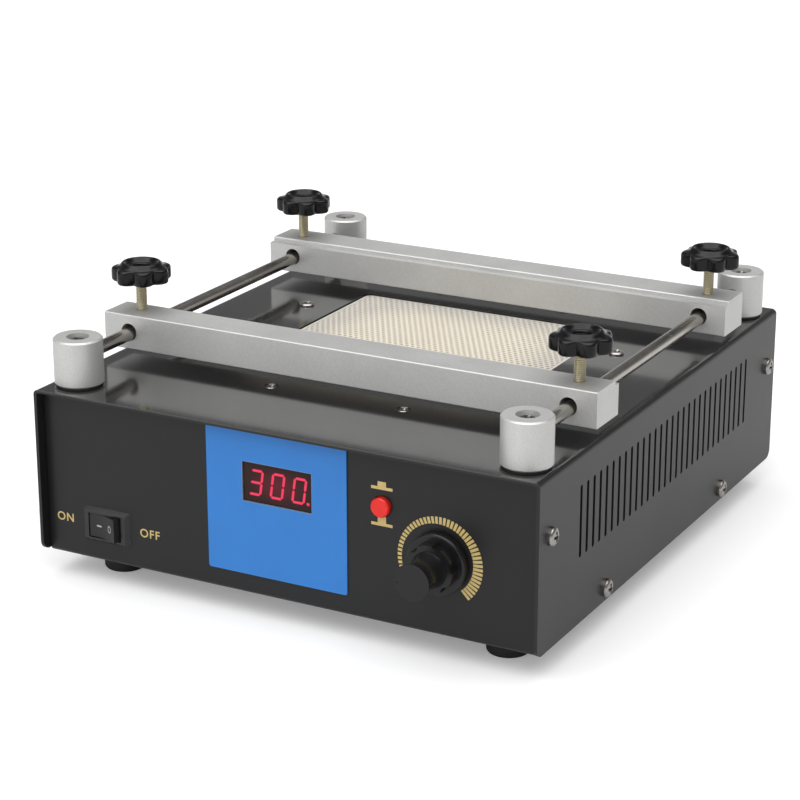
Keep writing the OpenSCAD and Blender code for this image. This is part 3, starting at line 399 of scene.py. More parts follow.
def board_finish(name, shade):
    """Solder mask over copper: faint tracks in a green laminate."""
    f = Finish(name)
    tracks = f.node(
        "ShaderNodeTexBrick",
        {"offset": 0.5},
        {
            "Vector": f.place, "Scale": 120.0, "Mortar Size": 0.03, "Brick Width": 0.9, "Row Height": 0.3,
            "Color1": (0, 0, 0, 1), "Color2": (0.25, 0.25, 0.25, 1), "Mortar": (1, 1, 1, 1),
        },
        "Fac",
    )
    return f.surface({
        "Base Color": f.blend(tracks, shade, shaded(shade, 2.2)),
        "Roughness": 0.35 + 0.15 * tracks,
        "Normal": f.bump(tracks, 0.03 * MM),
    })


def ceramic_finish(plate):
    """Fired ceramic: pale walls, warmer towards the plate's middle, with random brown stains, and painted shade
    that makes it browner and darker down in the cells.
    """
    f = Finish("cream_ceramic")
    low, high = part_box("heater_plate")
    middle, half = (low + high) / 2, (high - low) / 2
    sand = f.noise(0.3 * MM, 2)
    patches = f.noise(16 * MM, 3)
    mapped = f.within((middle.x, middle.y, high.z), (half.x, half.y, plate.pit))
    down = f.node("ShaderNodeSeparateXYZ", None, {"Vector": mapped}, "Z")
    # Painted shade: how much of the brown shade colour shows, from none near the cells' rims to all of it near
    # their bottoms
    depth = f.ramp(down, -0.05, -0.6)
    across, along = down.twin("X"), down.twin("Y")
    off_middle = across * across * across * across + along * along * along * along
    edge = f.ramp(off_middle, 0.03, 0.65, smooth=True)
    walls = f.blend(edge, plate.cream, plate.pale)
    # Random stains that lean towards the same brown
    aged = f.blend(patches * 0.25 + sand * 0.15, walls, plate.pit_shade_and_stain)
    return f.surface({
        # Painted shade down in the cells
        "Base Color": f.blend(depth, aged, plate.pit_shade_and_stain),
        "Roughness": 0.75 + 0.15 * sand,
        "Normal": f.bump(sand, 0.05 * MM),
    })


def overlay_finish(shade):
    """Printed film: a finely textured satin face."""
    f = Finish("blue_overlay")
    texture = f.noise(0.22 * MM, 1)
    clouds = f.noise(30 * MM, 2)
    return f.surface({
        "Base Color": f.tint(clouds, shade, 0.9, 1.12),
        "Roughness": 0.44 + 0.12 * texture,
        "Normal": f.bump(texture, 0.008 * MM),
    })


def filter_finish(glow):
    """Smoked red filter, lit from behind in the middle."""
    f = Finish("smoked_red")
    low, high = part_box("display_window")
    half = (high - low) / 2
    mapped = f.within((low + high) / 2, (half.x, 1.0, half.z))
    distance = f.node("ShaderNodeVectorMath", {"operation": "LENGTH"}, {0: mapped}, "Value")
    smears = f.noise(7 * MM, 2)
    share = f.ramp(distance + 0.25 * smears, 1.15, 0.1, smooth=True)
    return f.surface({
        "Base Color": f.blend(smears, (0.012, 0.005, 0.005), (0.022, 0.009, 0.008)),
        "Roughness": 0.12 + 0.06 * smears,
        "Specular IOR Level": 0.2,
        "Emission Color": f.blend(share, (0.006, 0.001, 0.001), glow),
        "Emission Strength": 1.0,
    })


def segment_finish(lit):
    """Glowing segment whose colour varies a little."""
    f = Finish("lit_segment")
    grain = f.noise(1.5 * MM, 2)
    return f.surface({
        "Base Color": f.tint(grain, lit, 0.5, 0.7),
        "Roughness": 0.4 + 0.2 * grain,
        "Emission Color": f.blend(grain, shaded(lit, 0.9), (lit[0], lit[1] * 2.2, lit[2] * 1.5)),
        "Emission Strength": 1.0,
    })


def ink_finish(name, shade):
    """Screen-printed ink with a thin, uneven film."""
    f = Finish(name)
    film = f.noise(0.7 * MM, 2)
    return f.surface({
        "Base Color": f.tint(film, shade, 0.78, 1.12),
        "Roughness": 0.38 + 0.15 * film,
        "Normal": f.bump(film, 0.004 * MM),
    })


def all_finishes(settings):
    """One finish for each material slot of the record, and those of the added pieces."""
    metal, display = settings.metal, settings.display
    along_y = (1, 60, 1)
    made = (
        paint_finish("black_paint", metal.paint, 1.375),
        paint_finish("gloss_paint", metal.paint, 1.42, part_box("cover")[1].z),
        drawn_finish("plated_steel", (0.36, 0.34, 0.32), 0.18, (6, 6, 1)),
        drawn_finish("polished_steel", (0.46, 0.435, 0.40), 0.16, along_y),
        blasted_finish("satin_aluminium", metal.aluminium, 0.40),
        drawn_finish("yellow_zinc", metal.zinc, 0.24, (1, 1, 8)),
        moulded_finish("black_rubber", (0.014, 0.014, 0.014), 0.62, 0.03),
        moulded_finish("gloss_black", (0.006, 0.006, 0.007), 0.10, specular=0.24),
        moulded_finish("bezel_black", (0.010, 0.010, 0.011), 0.20, specular=0.5),
        moulded_finish("dial_black", (0.009, 0.009, 0.010), 0.16, specular=0.34, dot=dial_index()),
        moulded_finish("matte_black", (0.012, 0.012, 0.013), 0.40, 0.01),
        ceramic_finish(settings.plate),
        moulded_finish("quartz", (0.75, 0.75, 0.72), 0.18),
        fibre_finish("white_fibre", (0.78, 0.77, 0.72)),
        overlay_finish(display.blue),
        filter_finish(display.glow),
        moulded_finish("display_body", (0.55, 0.55, 0.53), 0.45, 0.02),
        moulded_finish("red_button", (0.72, 0.018, 0.012), 0.28),
        board_finish("circuit_board", (0.015, 0.11, 0.035)),
        layered_finish("core_iron", (0.16, 0.16, 0.17), 0.5 * MM, 0.8, "Y"),
        layered_finish("copper", (0.50, 0.19, 0.07), 0.6 * MM, 0.9, "Z"),
        ink_finish("gold_print", settings.marks.gold),
        ink_finish("white_print", (0.42, 0.42, 0.41)),
        ink_finish("pale_edge", (0.16, 0.24, 0.36)),
        segment_finish(display.lit),
    )
    return {finish.name: finish for finish in made}


def finish_of(name):
    found = bpy.data.materials.get(name)
    if found is None:
        raise RuntimeError(f"the finish {name} is made by the finishes operator, which comes first")
    return found


# Meshes


def middle_of(node):
    """Middle of a CAD node's box."""
    low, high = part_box(node)
    return (low + high) / 2


def corners_of(places):
    """Lowest and highest corner of the box round some places."""
    return Vector(map(min, zip(*places))), Vector(map(max, zip(*places)))


def panel_y():
    """Place of the front panel's face along Y."""
    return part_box("base_tray")[0].y


def final_mesh(thing):
    """An object's mesh as its modifiers leave it."""
    return bpy.data.meshes.new_from_object(thing.evaluated_get(bpy.context.evaluated_depsgraph_get()))


def add_object(name, data):
    """Links an object that shows the data."""
    made = bpy.data.objects.new(name, data)
    bpy.context.scene.collection.objects.link(made)
    return made


def add_piece(name, mesh, finish, body, replaced=()):
    """Links a mesh as a piece at the origin that rides on a body."""
    piece = add_object(name, mesh)
    mesh.materials.clear()
    mesh.materials.append(finish_of(finish))
    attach(piece, body)
    if replaced:
        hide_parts(*replaced)
    return piece


def smooth_below(bm, crease):
    """Makes a bmesh smooth, with sharp edges from the crease angle on."""
    for face in bm.faces:
        face.smooth = True
    for edge in bm.edges:
        edge.smooth = len(edge.link_faces) == 2 and edge.calc_face_angle(0) < crease


def plain_mesh(name, bm):
    """Turns a bmesh into a mesh as it is."""
    mesh = bpy.data.meshes.new(name)
    bm.to_mesh(mesh)
    bm.free()
    return mesh


def mesh_from(name, bm, crease=CREASE):
    """Turns a bmesh into a mesh with its faces outwards, smooth below the crease angle."""
    bmesh.ops.recalc_face_normals(bm, faces=bm.faces)
    smooth_below(bm, crease)
    return plain_mesh(name, bm)


def add_prism(bm, outline, y_back, y_front):
    """Adds an outline in X and Z as a plate between two places along Y."""
    add_skin(bm, [[bm.verts.new((x, y, z)) for x, z in outline] for y in (y_back, y_front)])


def add_frame(bm, outer, inner, y_back, y_front):
    """Adds what lies between two outlines of as many corners as a plate between two places along Y."""
    corners = ((outer, y_back), (outer, y_front), (inner, y_front), (inner, y_back))
    loops = [[bm.verts.new((x, y, z)) for x, z in outline] for outline, y in corners]
    for first, second in zip(loops, loops[1:] + loops[:1]):
        join_loops(bm, first, second)


def oblong(x, y, half_w, half_h):
    """Outline of a rectangle."""
    return [(x + u * half_w, y + v * half_h) for u, v in ((-1, -1), (1, -1), (1, 1), (-1, 1))]


def oval(x, y, half_w, half_h, steps):
    """Outline of an oval."""
    turns = [math.tau * i / steps for i in range(steps)]
    return [(x + half_w * math.cos(turn), y + half_h * math.sin(turn)) for turn in turns]


def join_loops(bm, first, second):
    """Joins two closed loops of as many vertices by a band of faces."""
    for i in range(len(first)):
        j = (i + 1) % len(first)
        bm.faces.new((first[i], first[j], second[j], second[i]))


def add_vertex(bm, middle, reach, turn, z):
    """Adds a vertex at a distance and an angle from an upright axis."""
    return bm.verts.new((middle.x + reach * math.cos(turn), middle.y + reach * math.sin(turn), z))


def add_lathe(bm, profile, steps):
    """Adds a closed solid of revolution about Z. The profile runs from the axis to the axis."""
    axis = Vector((0, 0, 0))
    rings = []
    for radius, height in profile:
        count = steps if radius > 0 else 1
        rings.append([add_vertex(bm, axis, radius, math.tau * i / steps, height) for i in range(count)])
    for lower, upper in zip(rings, rings[1:]):
        for i in range(steps):
            j = (i + 1) % steps
            below = [lower[i % len(lower)], lower[j % len(lower)]]
            above = [upper[j % len(upper)], upper[i % len(upper)]]
            bm.faces.new(list(dict.fromkeys(below + above)))


def add_skin(bm, rings):
    """Joins rings of as many vertices, from the lowest to the highest, and closes both ends."""
    for lower, upper in zip(rings, rings[1:]):
        join_loops(bm, lower, upper)
    bm.faces.new(list(reversed(rings[0])))
    bm.faces.new(rings[-1])


def baked(name, source, tree, inputs):
    """Runs a Geometry Nodes tree on a mesh and returns the result as a plain mesh."""
    carrier = add_object(name, source)
    modifier = carrier.modifiers.new(name, "NODES")
    modifier.node_group = tree
    for item in tree.interface.items_tree:
        if item.in_out == "INPUT" and item.name in inputs:
            modifier[item.identifier] = inputs[item.name]
    mesh = final_mesh(carrier)
    carrier.modifiers.clear()
    bpy.data.objects.remove(carrier)
    if not mesh.polygons:
        raise RuntimeError(f"{name} came out empty")
    return mesh


class Growth(Tree):
    """A Geometry Nodes tree with named inputs: a finish, numbers, and others with their kinds."""

    def __init__(self, name, numbers=(), others=None):
        super().__init__(bpy.data.node_groups.new(name, "GeometryNodeTree"))
        kinds = {"Geometry": "Geometry", "Finish": "Material"}
        kinds.update(dict.fromkeys(numbers, "Float"))
        kinds.update(others or {})
        for key, kind in kinds.items():
            self.tree.interface.new_socket(key, in_out="INPUT", socket_type="NodeSocket" + kind)
        self.tree.interface.new_socket("Geometry", in_out="OUTPUT", socket_type="NodeSocketGeometry")
        self.start = self.node("NodeGroupInput")

    def read(self, name):
        return self.start.twin(name)

    def end(self, geometry):
        """Realises what is instanced, sets the material and ends the tree."""
        real = self.node("GeometryNodeRealizeInstances", None, {"Geometry": geometry})
        dressed = self.node("GeometryNodeSetMaterial", None, {
            "Geometry": real, "Material": self.read("Finish"),
        })
        self.node("NodeGroupOutput", None, {"Geometry": dressed})
        return self.tree


def smooth_mesh(mesh):
    """Makes a baked mesh smooth below the crease angle."""
    bm = bmesh.new()
    bm.from_mesh(mesh)
    smooth_below(bm, CREASE)
    bm.to_mesh(mesh)
    bm.free()


def word_mesh(word, height, middle):
    """A word in the panel's plane, with its capitals that high."""
    curve = bpy.data.curves.new(word, "FONT")
    curve.body = word
    curve.align_x = "CENTER"
    curve.space_character = 1.14
    curve.offset = 0.014
    curve.extrude = 0.01
    carrier = add_object(word, curve)
    mesh = final_mesh(carrier)
    bpy.data.objects.remove(carrier)
    low, high = corners_of([v.co for v in mesh.vertices])
    scale = height / (high.y - low.y)
    centred = Matrix.Translation(-(low + high) / 2)
    flat = Matrix.Diagonal((scale, scale, PRINT_T / (high.z - low.z), 1))
    upright = Matrix.Rotation(math.radians(90), 4, "X")
    mesh.transform(Matrix.Translation(middle) @ upright @ flat @ centred)
    return mesh


# Screws


def screw_boxes(node):
    """Box of each screw of a CAD node, from vertices that lie close together."""
    near = 16 * MM
    groups = []
    for vertex in frame["nodes"][node].data.vertices:
        for group in groups:
            if (group[0] - vertex.co).length < near:
                group.append(vertex.co.copy())
                break
        else:
            groups.append([vertex.co.copy()])
    return [corners_of(group) for group in groups]


def cross_mesh(name, radius, height):
    """Two crossed wedges that reach from above a head of that size down into it."""
    reach, half = 0.66 * radius, 0.17 * radius
    bottom, above = 0.25 * height, height + 0.3 * MM
    top = oblong(0, 0, reach, half)
    foot = oblong(0, 0, 0.45 * reach, 0.7 * half)
    bm = bmesh.new()
    for _ in range(2):
        lower = [bm.verts.new((x, y, bottom)) for x, y in foot]
        upper = [bm.verts.new((x, y, above)) for x, y in top]
        add_skin(bm, [lower, upper])
        top = [(-y, x) for x, y in top]
        foot = [(-y, x) for x, y in foot]
    return mesh_from(name, bm)


def cross_head(name, radius, height, dome, bevel):
    """Screw head on the plane z = 0 with a bevelled edge and a cross recess in a domed or flat top."""
    steps, sides = 6, 40
    rise = 0.5 * height if dome else 0.0
    edge = height - rise
    profile = [(0, 0), (radius, 0), (radius, edge - bevel), (radius - bevel, edge)]
    if dome:
        turns = [math.pi / 2 * i / steps for i in range(1, steps)]
        profile += [((radius - bevel) * math.cos(t), edge + rise * math.sin(t)) for t in turns]
    bm = bmesh.new()
    add_lathe(bm, profile + [(0, height)], sides)
    head = add_object(name, mesh_from(name, bm))
    cutter = add_object(name + "_cutter", cross_mesh(name + "_cutter", radius, height))
    recess = head.modifiers.new("recess", "BOOLEAN")
    recess.operation = "DIFFERENCE"
    recess.solver = "EXACT"
    recess.use_self = True
    recess.object = cutter
    mesh = final_mesh(head)
    bpy.data.objects.remove(head)
    bpy.data.objects.remove(cutter)
    smooth_mesh(mesh)
    return mesh


def heads_tree():
    """Sets a copy of an object on every point, turned to the point's own direction."""
    g = Growth("screw_heads", others={"Head": "Object"})
    head = g.node("GeometryNodeObjectInfo", None, {"Object": g.read("Head")}, "Geometry")
    facing = g.node("GeometryNodeInputNamedAttribute", {"data_type": "FLOAT_VECTOR"}, {"Name": "facing"})
    turn = g.node("FunctionNodeAlignRotationToVector", {"axis": "Z"}, {"Vector": facing})
    return g.end(g.node("GeometryNodeInstanceOnPoints", None, {
        "Points": g.read("Geometry"), "Instance": head, "Rotation": turn,
    }))


def set_heads(name, head_mesh, spots, node):
    """Bakes a head at each (place, direction) into one piece of the housing, in place of a CAD node."""
    points = bpy.data.meshes.new(name + "_points")
    points.from_pydata([tuple(place) for place, _ in spots], [], [])
    facing = points.attributes.new("facing", "FLOAT_VECTOR", "POINT")
    for item, (_, way) in zip(facing.data, spots):
        item.vector = way
    head = add_object(name + "_head", head_mesh)
    tree = bpy.data.node_groups.get("screw_heads") or heads_tree()
    mesh = baked(name, points, tree, {"Head": head, "Finish": finish_of("plated_steel")})
    bpy.data.objects.remove(head)
    smooth_mesh(mesh)
    add_piece(name, mesh, "plated_steel", "housing", [node])


# Operators


class PREHEATER_OT_finishes(bpy.types.Operator):
    """Make the finishes and give every CAD node its own"""

    bl_idname = "preheater.finishes"
    bl_label = "Finishes"

    def execute(self, context):
        finishes = all_finishes(context.scene.preheater)
        for name, node in frame["nodes"].items():
            node.data.materials.clear()
            node.data.materials.append(finishes[FINISH_OF_NODE.get(name, NODE_SLOTS[name])])
        return {"FINISHED"}


class PREHEATER_OT_stage(bpy.types.Operator):
    """Set up the camera, the soft light and the pale floor"""

    bl_idname = "preheater.stage"
    bl_label = "Stage"

    # Camera: its place in metres, its turn to the left and its tilt downwards in radians
    PLACE = (0.49073, -0.92505, 0.42411)
    YAW = 0.49391
    PITCH = 0.32980
    # Name, share of the key light's strength, direction towards the light and spread in degrees
    SUNS = (
        ("key_light", 1.0, (0.15, -0.35, 1.4), 75),
        ("front_light", 0.45, (-0.35, -1.0, 0.6), 70),
    )

    def execute(self, context):
        stage = context.scene.preheater.stage
        scene = context.scene
        scene.view_settings.view_transform = "Standard"
        self.camera(scene, stage)
        self.world(scene, stage)
        self.floor(stage)
        for name, share, way, spread in self.SUNS:
            self.sun(name, share * stage.sun, way, spread)
        return {"FINISHED"}

    def camera(self, scene, stage):
        """Camera that sees the part from its front right, a little from above."""
        camera = add_object("camera", bpy.data.cameras.new("camera"))
        scene.camera = camera
        camera.data.lens = stage.lens
        camera.data.sensor_width = 36.0
        camera.data.clip_start = 0.01
        camera.data.clip_end = 50.0
        level = math.cos(self.PITCH)
        ahead = Vector((-math.sin(self.YAW) * level, math.cos(self.YAW) * level, -math.sin(self.PITCH)))
        camera.location = self.PLACE
        camera.rotation_mode = "QUATERNION"
        camera.rotation_quaternion = ahead.to_track_quat("-Z", "Y")

    def world(self, scene, stage):
        """White to the camera, even light on surfaces, and pale walls and a softbox in mirrored light."""
        world = bpy.data.worlds.new("studio")
        scene.world = world
        world.use_nodes = True
        w = Tree(world.node_tree)
        seen = w.node("ShaderNodeLightPath", output="Is Camera Ray")
        glossy = seen.twin("Is Glossy Ray")
        clear = seen + seen.twin("Is Transmission Ray")
        way = w.node("ShaderNodeTexCoord", output="Generated")
        height = w.node("ShaderNodeSeparateXYZ", None, {"Vector": way}, "Z")
        # Heights on the unit sphere between which the walls darken and the softbox brightens
        walls = w.ramp(height, -0.02, 0.30, 0.95, 0.16, smooth=True)
        softbox = w.ramp(height, 0.66, 0.86, 0.0, stage.softbox, smooth=True)
        strength = clear + (1 - clear) * (glossy * (walls + softbox) + (1 - glossy) * stage.ambient)
        light = w.node("ShaderNodeBackground", None, {"Color": (1, 1, 1, 1), "Strength": strength})
        w.node("ShaderNodeOutputWorld", None, {"Surface": light})

    def floor(self, stage):
        """Wide floor that looks a little brighter to the camera than its light makes it."""
        bm = bmesh.new()
        bmesh.ops.create_grid(bm, x_segments=8, y_segments=8, size=6.0)
        floor = add_object("floor", plain_mesh("floor", bm))
        f = Finish("pale_floor")
        grain = f.noise(0.4, 2)
        lift = 0.24 * f.node("ShaderNodeLightPath", output="Is Camera Ray")
        floor.data.materials.append(f.surface({
            "Base Color": f.tint(grain, stage.floor, 0.99, 1.01),
            "Roughness": 0.9,
            "Emission Color": (1, 1, 1, 1),
            "Emission Strength": lift,
        }))

    def sun(self, name, strength, way, spread):
        lamp = bpy.data.lights.new(name, "SUN")
        lamp.energy = strength
        lamp.angle = math.radians(spread)
        light = add_object(name, lamp)
        light.rotation_mode = "QUATERNION"
        light.rotation_quaternion = Vector(way).to_track_quat("Z", "Y")


class PREHEATER_OT_screws(bpy.types.Operator):
    """Set cross-recessed heads in place of the plain screws that show"""

    bl_idname = "preheater.screws"
    bl_label = "Screw heads"

    # CAD node, piece, whether the head is domed, then its radius, height, sink and edge bevel in mm
    HEADS = (
        ("side_screws", "side_screw_heads", True, 4.0, 2.8, 0.0, 0.12),
        ("domed_screws", "domed_screw_heads", True, 3.5, 1.47, 0.0, 0.12),
        ("flat_screws", "flat_screw_heads", False, 2.9, 1.3, 0.1, 0.65),
        ("post_clamp_screws", "post_screw_heads", True, 4.0, 2.6, 0.0, 0.12),
        ("inlet_screws", "inlet_screw_heads", True, 3.0, 2.1, 0.0, 0.12),
    )

    def execute(self, context):
        for node, piece, dome, radius, height, sink, bevel in self.HEADS:
            head = cross_head(node + "_head", radius * MM, height * MM, dome, bevel * MM)
            spots = [self.spot(node, box, (height + sink) * MM) for box in screw_boxes(node)]
            set_heads(piece, head, spots, node)
        return {"FINISHED"}

    def spot(self, node, box, depth):
        """Place and direction of a head whose foot lies that far below the screw's end."""
        low, high = box
        middle, half = (low + high) / 2, (high - low) / 2
        way = Vector((0, 0, 1))
        if node == "side_screws":
            way = Vector((math.copysign(1, high.x), 0, 0))
        elif node == "inlet_screws":
            way = Vector((0, 1, 0))
        return middle + way * (abs(way.dot(half)) - depth), way


class PREHEATER_OT_thumbscrews(bpy.types.Operator):
    """Mould the star knobs of the thumbscrews and cut a thread on their studs"""

    bl_idname = "preheater.thumbscrews"
    bl_label = "Thumbscrews"

    LOBES = 7
    # Below 1, the lobes are wider than the valleys between them
    FULLNESS = 0.6
    # Height, radius at a lobe and radius in a valley, as shares of the knob's height and radius
    PROFILE = (
        (0.0, 0.90, 0.70), (0.03, 0.955, 0.755), (0.09, 0.99, 0.785), (0.16, 1.0, 0.80), (0.56, 1.0, 0.80),
        (0.64, 0.985, 0.80), (0.695, 0.95, 0.80), (0.72, 0.90, 0.79), (0.73, 0.83, 0.775),
        (0.75, 0.765, 0.74), (0.82, 0.705, 0.695), (0.90, 0.665, 0.66), (0.945, 0.625, 0.625),
        (0.96, 0.585, 0.585), (0.945, 0.55, 0.55), (0.90, 0.52, 0.52), (0.81, 0.475, 0.475),
        (0.755, 0.43, 0.43), (0.745, 0.40, 0.40), (0.75, 0.345, 0.345), (0.735, 0.315, 0.315),
        (0.70, 0.30, 0.30), (0.62, 0.295, 0.295), (0.598, 0.27, 0.27), (0.597, 0.15, 0.15),
    )

    def execute(self, context):
        metal = context.scene.preheater.metal
        for corner in THUMBSCREWS:
            body = "thumbscrew_" + corner
            stud, knob = "stud_" + corner, "knob_" + corner
            thread = self.thread(stud, metal.thread_pitch, metal.thread_depth)
            add_piece("thread_" + corner, thread, "yellow_zinc", body, [stud])
            add_piece("star_" + corner, self.star(knob), "gloss_black", body, [knob])
        return {"FINISHED"}

    def star(self, node):
        """Star knob with round lobes, and a dish and a pit inside the crest of its top."""
        low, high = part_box(node)
        middle = (low + high) / 2
        radius, height = high.x - middle.x, high.z - low.z
        steps = 16 * self.LOBES
        bm = bmesh.new()
        rings = []
        for rise, lobe, valley in self.PROFILE:
            ring = []
            for i in range(steps):
                turn = math.tau * i / steps
                share = (0.5 + 0.5 * math.cos(self.LOBES * turn)) ** self.FULLNESS
                reach = radius * (valley + (lobe - valley) * share)
                ring.append(add_vertex(bm, middle, reach, turn, low.z + rise * height))
            rings.append(ring)
        add_skin(bm, rings)
        return mesh_from(node + "_star", bm, crease=math.radians(50))

    def thread(self, node, pitch, depth):
        """Stud with a helical groove that starts with a chamfer at its lower end."""
        low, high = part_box(node)
        middle = (low + high) / 2
        radius = (high.x - low.x) / 2
        steps, per_turn = 28, 8
        # Steepness of the flanks, and depths of the chamfer and of both together as shares of the thread's
        flank, chamfer, deepest = 1.5, 0.6, 1.4
        count = int((high.z - low.z) / pitch * per_turn)
        bm = bmesh.new()
        rings = []
        for i in range(count + 1):
            z = low.z + (high.z - low.z) * i / count
            lead = min(1.0, (z - low.z) / (2 * pitch))
            ring = []
            for j in range(steps):
                turn = ((z - low.z) / pitch - j / steps) % 1.0
                groove = max(0.0, 1 - flank * abs(2 * turn - 1)) + (1 - lead) * chamfer
                reach = radius - depth * min(groove, deepest)
                ring.append(add_vertex(bm, middle, reach, math.tau * j / steps, z))
            rings.append(ring)
        add_skin(bm, rings)
        return mesh_from(node + "_thread", bm, crease=math.radians(70))


class PREHEATER_OT_hot_plate(bpy.types.Operator):
    """Grow the ceramic plate with its grid of cells"""

    bl_idname = "preheater.hot_plate"
    bl_label = "Hot plate"

    def execute(self, context):
        plate = context.scene.preheater.plate
        low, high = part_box("heater_plate")
        inputs = {"Pit": plate.pit, "Opening": plate.opening, "Finish": finish_of("cream_ceramic")}
        mesh = baked("hot_plate", self.block(high - low, plate), self.tree(), inputs)
        middle = middle_of("heater_plate")
        mesh.transform(Matrix.Translation((middle.x, middle.y, high.z)))
        add_piece("hot_plate", mesh, "cream_ceramic", "housing", ["heater_plate"])
        return {"FINISHED"}

    def block(self, span, plate):
        """Closed plate with a plain border round a staggered lattice of faces, each marked as a cell."""
        a, b = span.x / 2 - plate.border, span.y / 2 - plate.border
        halves, rows = 2 * plate.columns, plate.rows
        bm = bmesh.new()
        lattice = [
            [bm.verts.new((-a + 2 * a * i / halves, -b + 2 * b * j / rows, 0)) for i in range(halves + 1)]
            for j in range(rows + 1)
        ]
        cells = []
        for j in range(rows):
            cuts = [0, *range(1, halves, 2), halves] if j % 2 else range(0, halves + 1, 2)
            for left, right in zip(cuts, list(cuts)[1:]):
                near, far = (row[left:right + 1] for row in lattice[j:j + 2])
                cells.append(bm.faces.new(near + far[::-1]))
        inner = lattice[0][:-1] + [row[-1] for row in lattice[:-1]]
        inner += lattice[-1][:0:-1] + [row[0] for row in lattice[:0:-1]]
        spots = [
            self.rounded(v.co.x / a * span.x / 2, v.co.y / b * span.y / 2, span, plate.corner)
            for v in inner
        ]
        loops = [inner] + [[bm.verts.new((x, y, z)) for x, y in spots] for z in (0, -span.z)]
        for first, second in zip(loops, loops[1:]):
            join_loops(bm, second, first)
        bm.faces.new(list(reversed(loops[-1])))
        bm.faces.index_update()
        marked = {face.index for face in cells}
        mesh = plain_mesh("hot_plate_block", bm)
        mark = mesh.attributes.new("cell", "BOOLEAN", "FACE")
        mark.data.foreach_set("value", [face in marked for face in range(len(mesh.polygons))])
        return mesh

    def rounded(self, x, y, span, corner):
        """Moves a point of the outline onto the rounded corner, where it lies in one."""
        over_x = abs(x) - (span.x / 2 - corner)
        over_y = abs(y) - (span.y / 2 - corner)
        if over_x <= 0 or over_y <= 0:
            return x, y
        share = corner / math.hypot(over_x, over_y)
        return (
            math.copysign(span.x / 2 - corner + over_x * share, x),
            math.copysign(span.y / 2 - corner + over_y * share, y),
        )

    def tree(self):
        """Insets every marked face and sinks it as a pit."""
        g = Growth("hot_plate_cells", ("Pit", "Opening"))
        cell = g.node("GeometryNodeInputNamedAttribute", {"data_type": "BOOLEAN"}, {"Name": "cell"})
        framed = g.node("GeometryNodeExtrudeMesh", {"mode": "FACES"}, {
            "Mesh": g.read("Geometry"), "Selection": cell, "Offset Scale": 0.0, "Individual": True,
        })
        inset = g.node("GeometryNodeScaleElements", {"domain": "FACE"}, {
            "Geometry": framed, "Selection": framed.twin("Top"), "Scale": g.read("Opening"),
        })
        pits = g.node("GeometryNodeExtrudeMesh", {"mode": "FACES"}, {
            "Mesh": inset, "Selection": framed.twin("Top"), "Offset Scale": g.read("Pit") * -1.0,
            "Individual": True,
        })
        return g.end(pits)


class PREHEATER_OT_switch(bpy.types.Operator):
    """Print the words beside the switch and the marks on its rocker"""

    bl_idname = "preheater.switch"
    bl_label = "Switch"

    def execute(self, context):
        marks = context.scene.preheater.marks
        middle, lift = middle_of("rocker_housing"), 0.4 * MM
        bm = bmesh.new()
        for word, side in (("ON", -1), ("OFF", 1)):
            place = Vector((middle.x + side * marks.word_gap, panel_y(), middle.z + lift))
            bm.from_mesh(word_mesh(word, marks.word_h, place))
        add_piece("switch_words", mesh_from("switch_words", bm), "gold_print", "housing")
        self.rocker_marks()
        return {"FINISHED"}

    def rocker_marks(self):
        """A bar and a ring that follow the rocker's leaning, hollow face."""
        centre = Vector(next(j for j in frame["joints"] if j["child"] == "rocker_body")["pos_m"])
        lean = math.radians(-12)
        # Half the hollow face's length, its dip and the distance of its ends from the axis
        half, dip, face = 7.6 * MM, 1.3 * MM, 3.0 * MM
        curve = (half * half + dip * dip) / (2 * dip)
        sunk = 0.02 * MM
        bm = bmesh.new()
        add_prism(bm, oblong(-2.8 * MM, 0, 1.3 * MM, 0.35 * MM), sunk, -PRINT_T)
        # The ring is taller than wide
        steps, at_x, ring_r, ring_w = 28, 3.7 * MM, 1.35 * MM, 0.4 * MM
        outer, inner = (oval(at_x, 0, 0.8 * r, 1.25 * r, steps) for r in (ring_r, ring_r - ring_w))
        add_frame(bm, outer, inner, sunk, -PRINT_T)
        for vertex in bm.verts:
            x = vertex.co.x
            vertex.co.y += dip - face - curve + math.sqrt(curve * curve - x * x)
        bm.transform(Matrix.Translation(centre) @ Matrix.Rotation(lean, 4, "Z"))
        add_piece("rocker_marks", mesh_from("rocker_marks", bm), "white_print", "rocker_body")


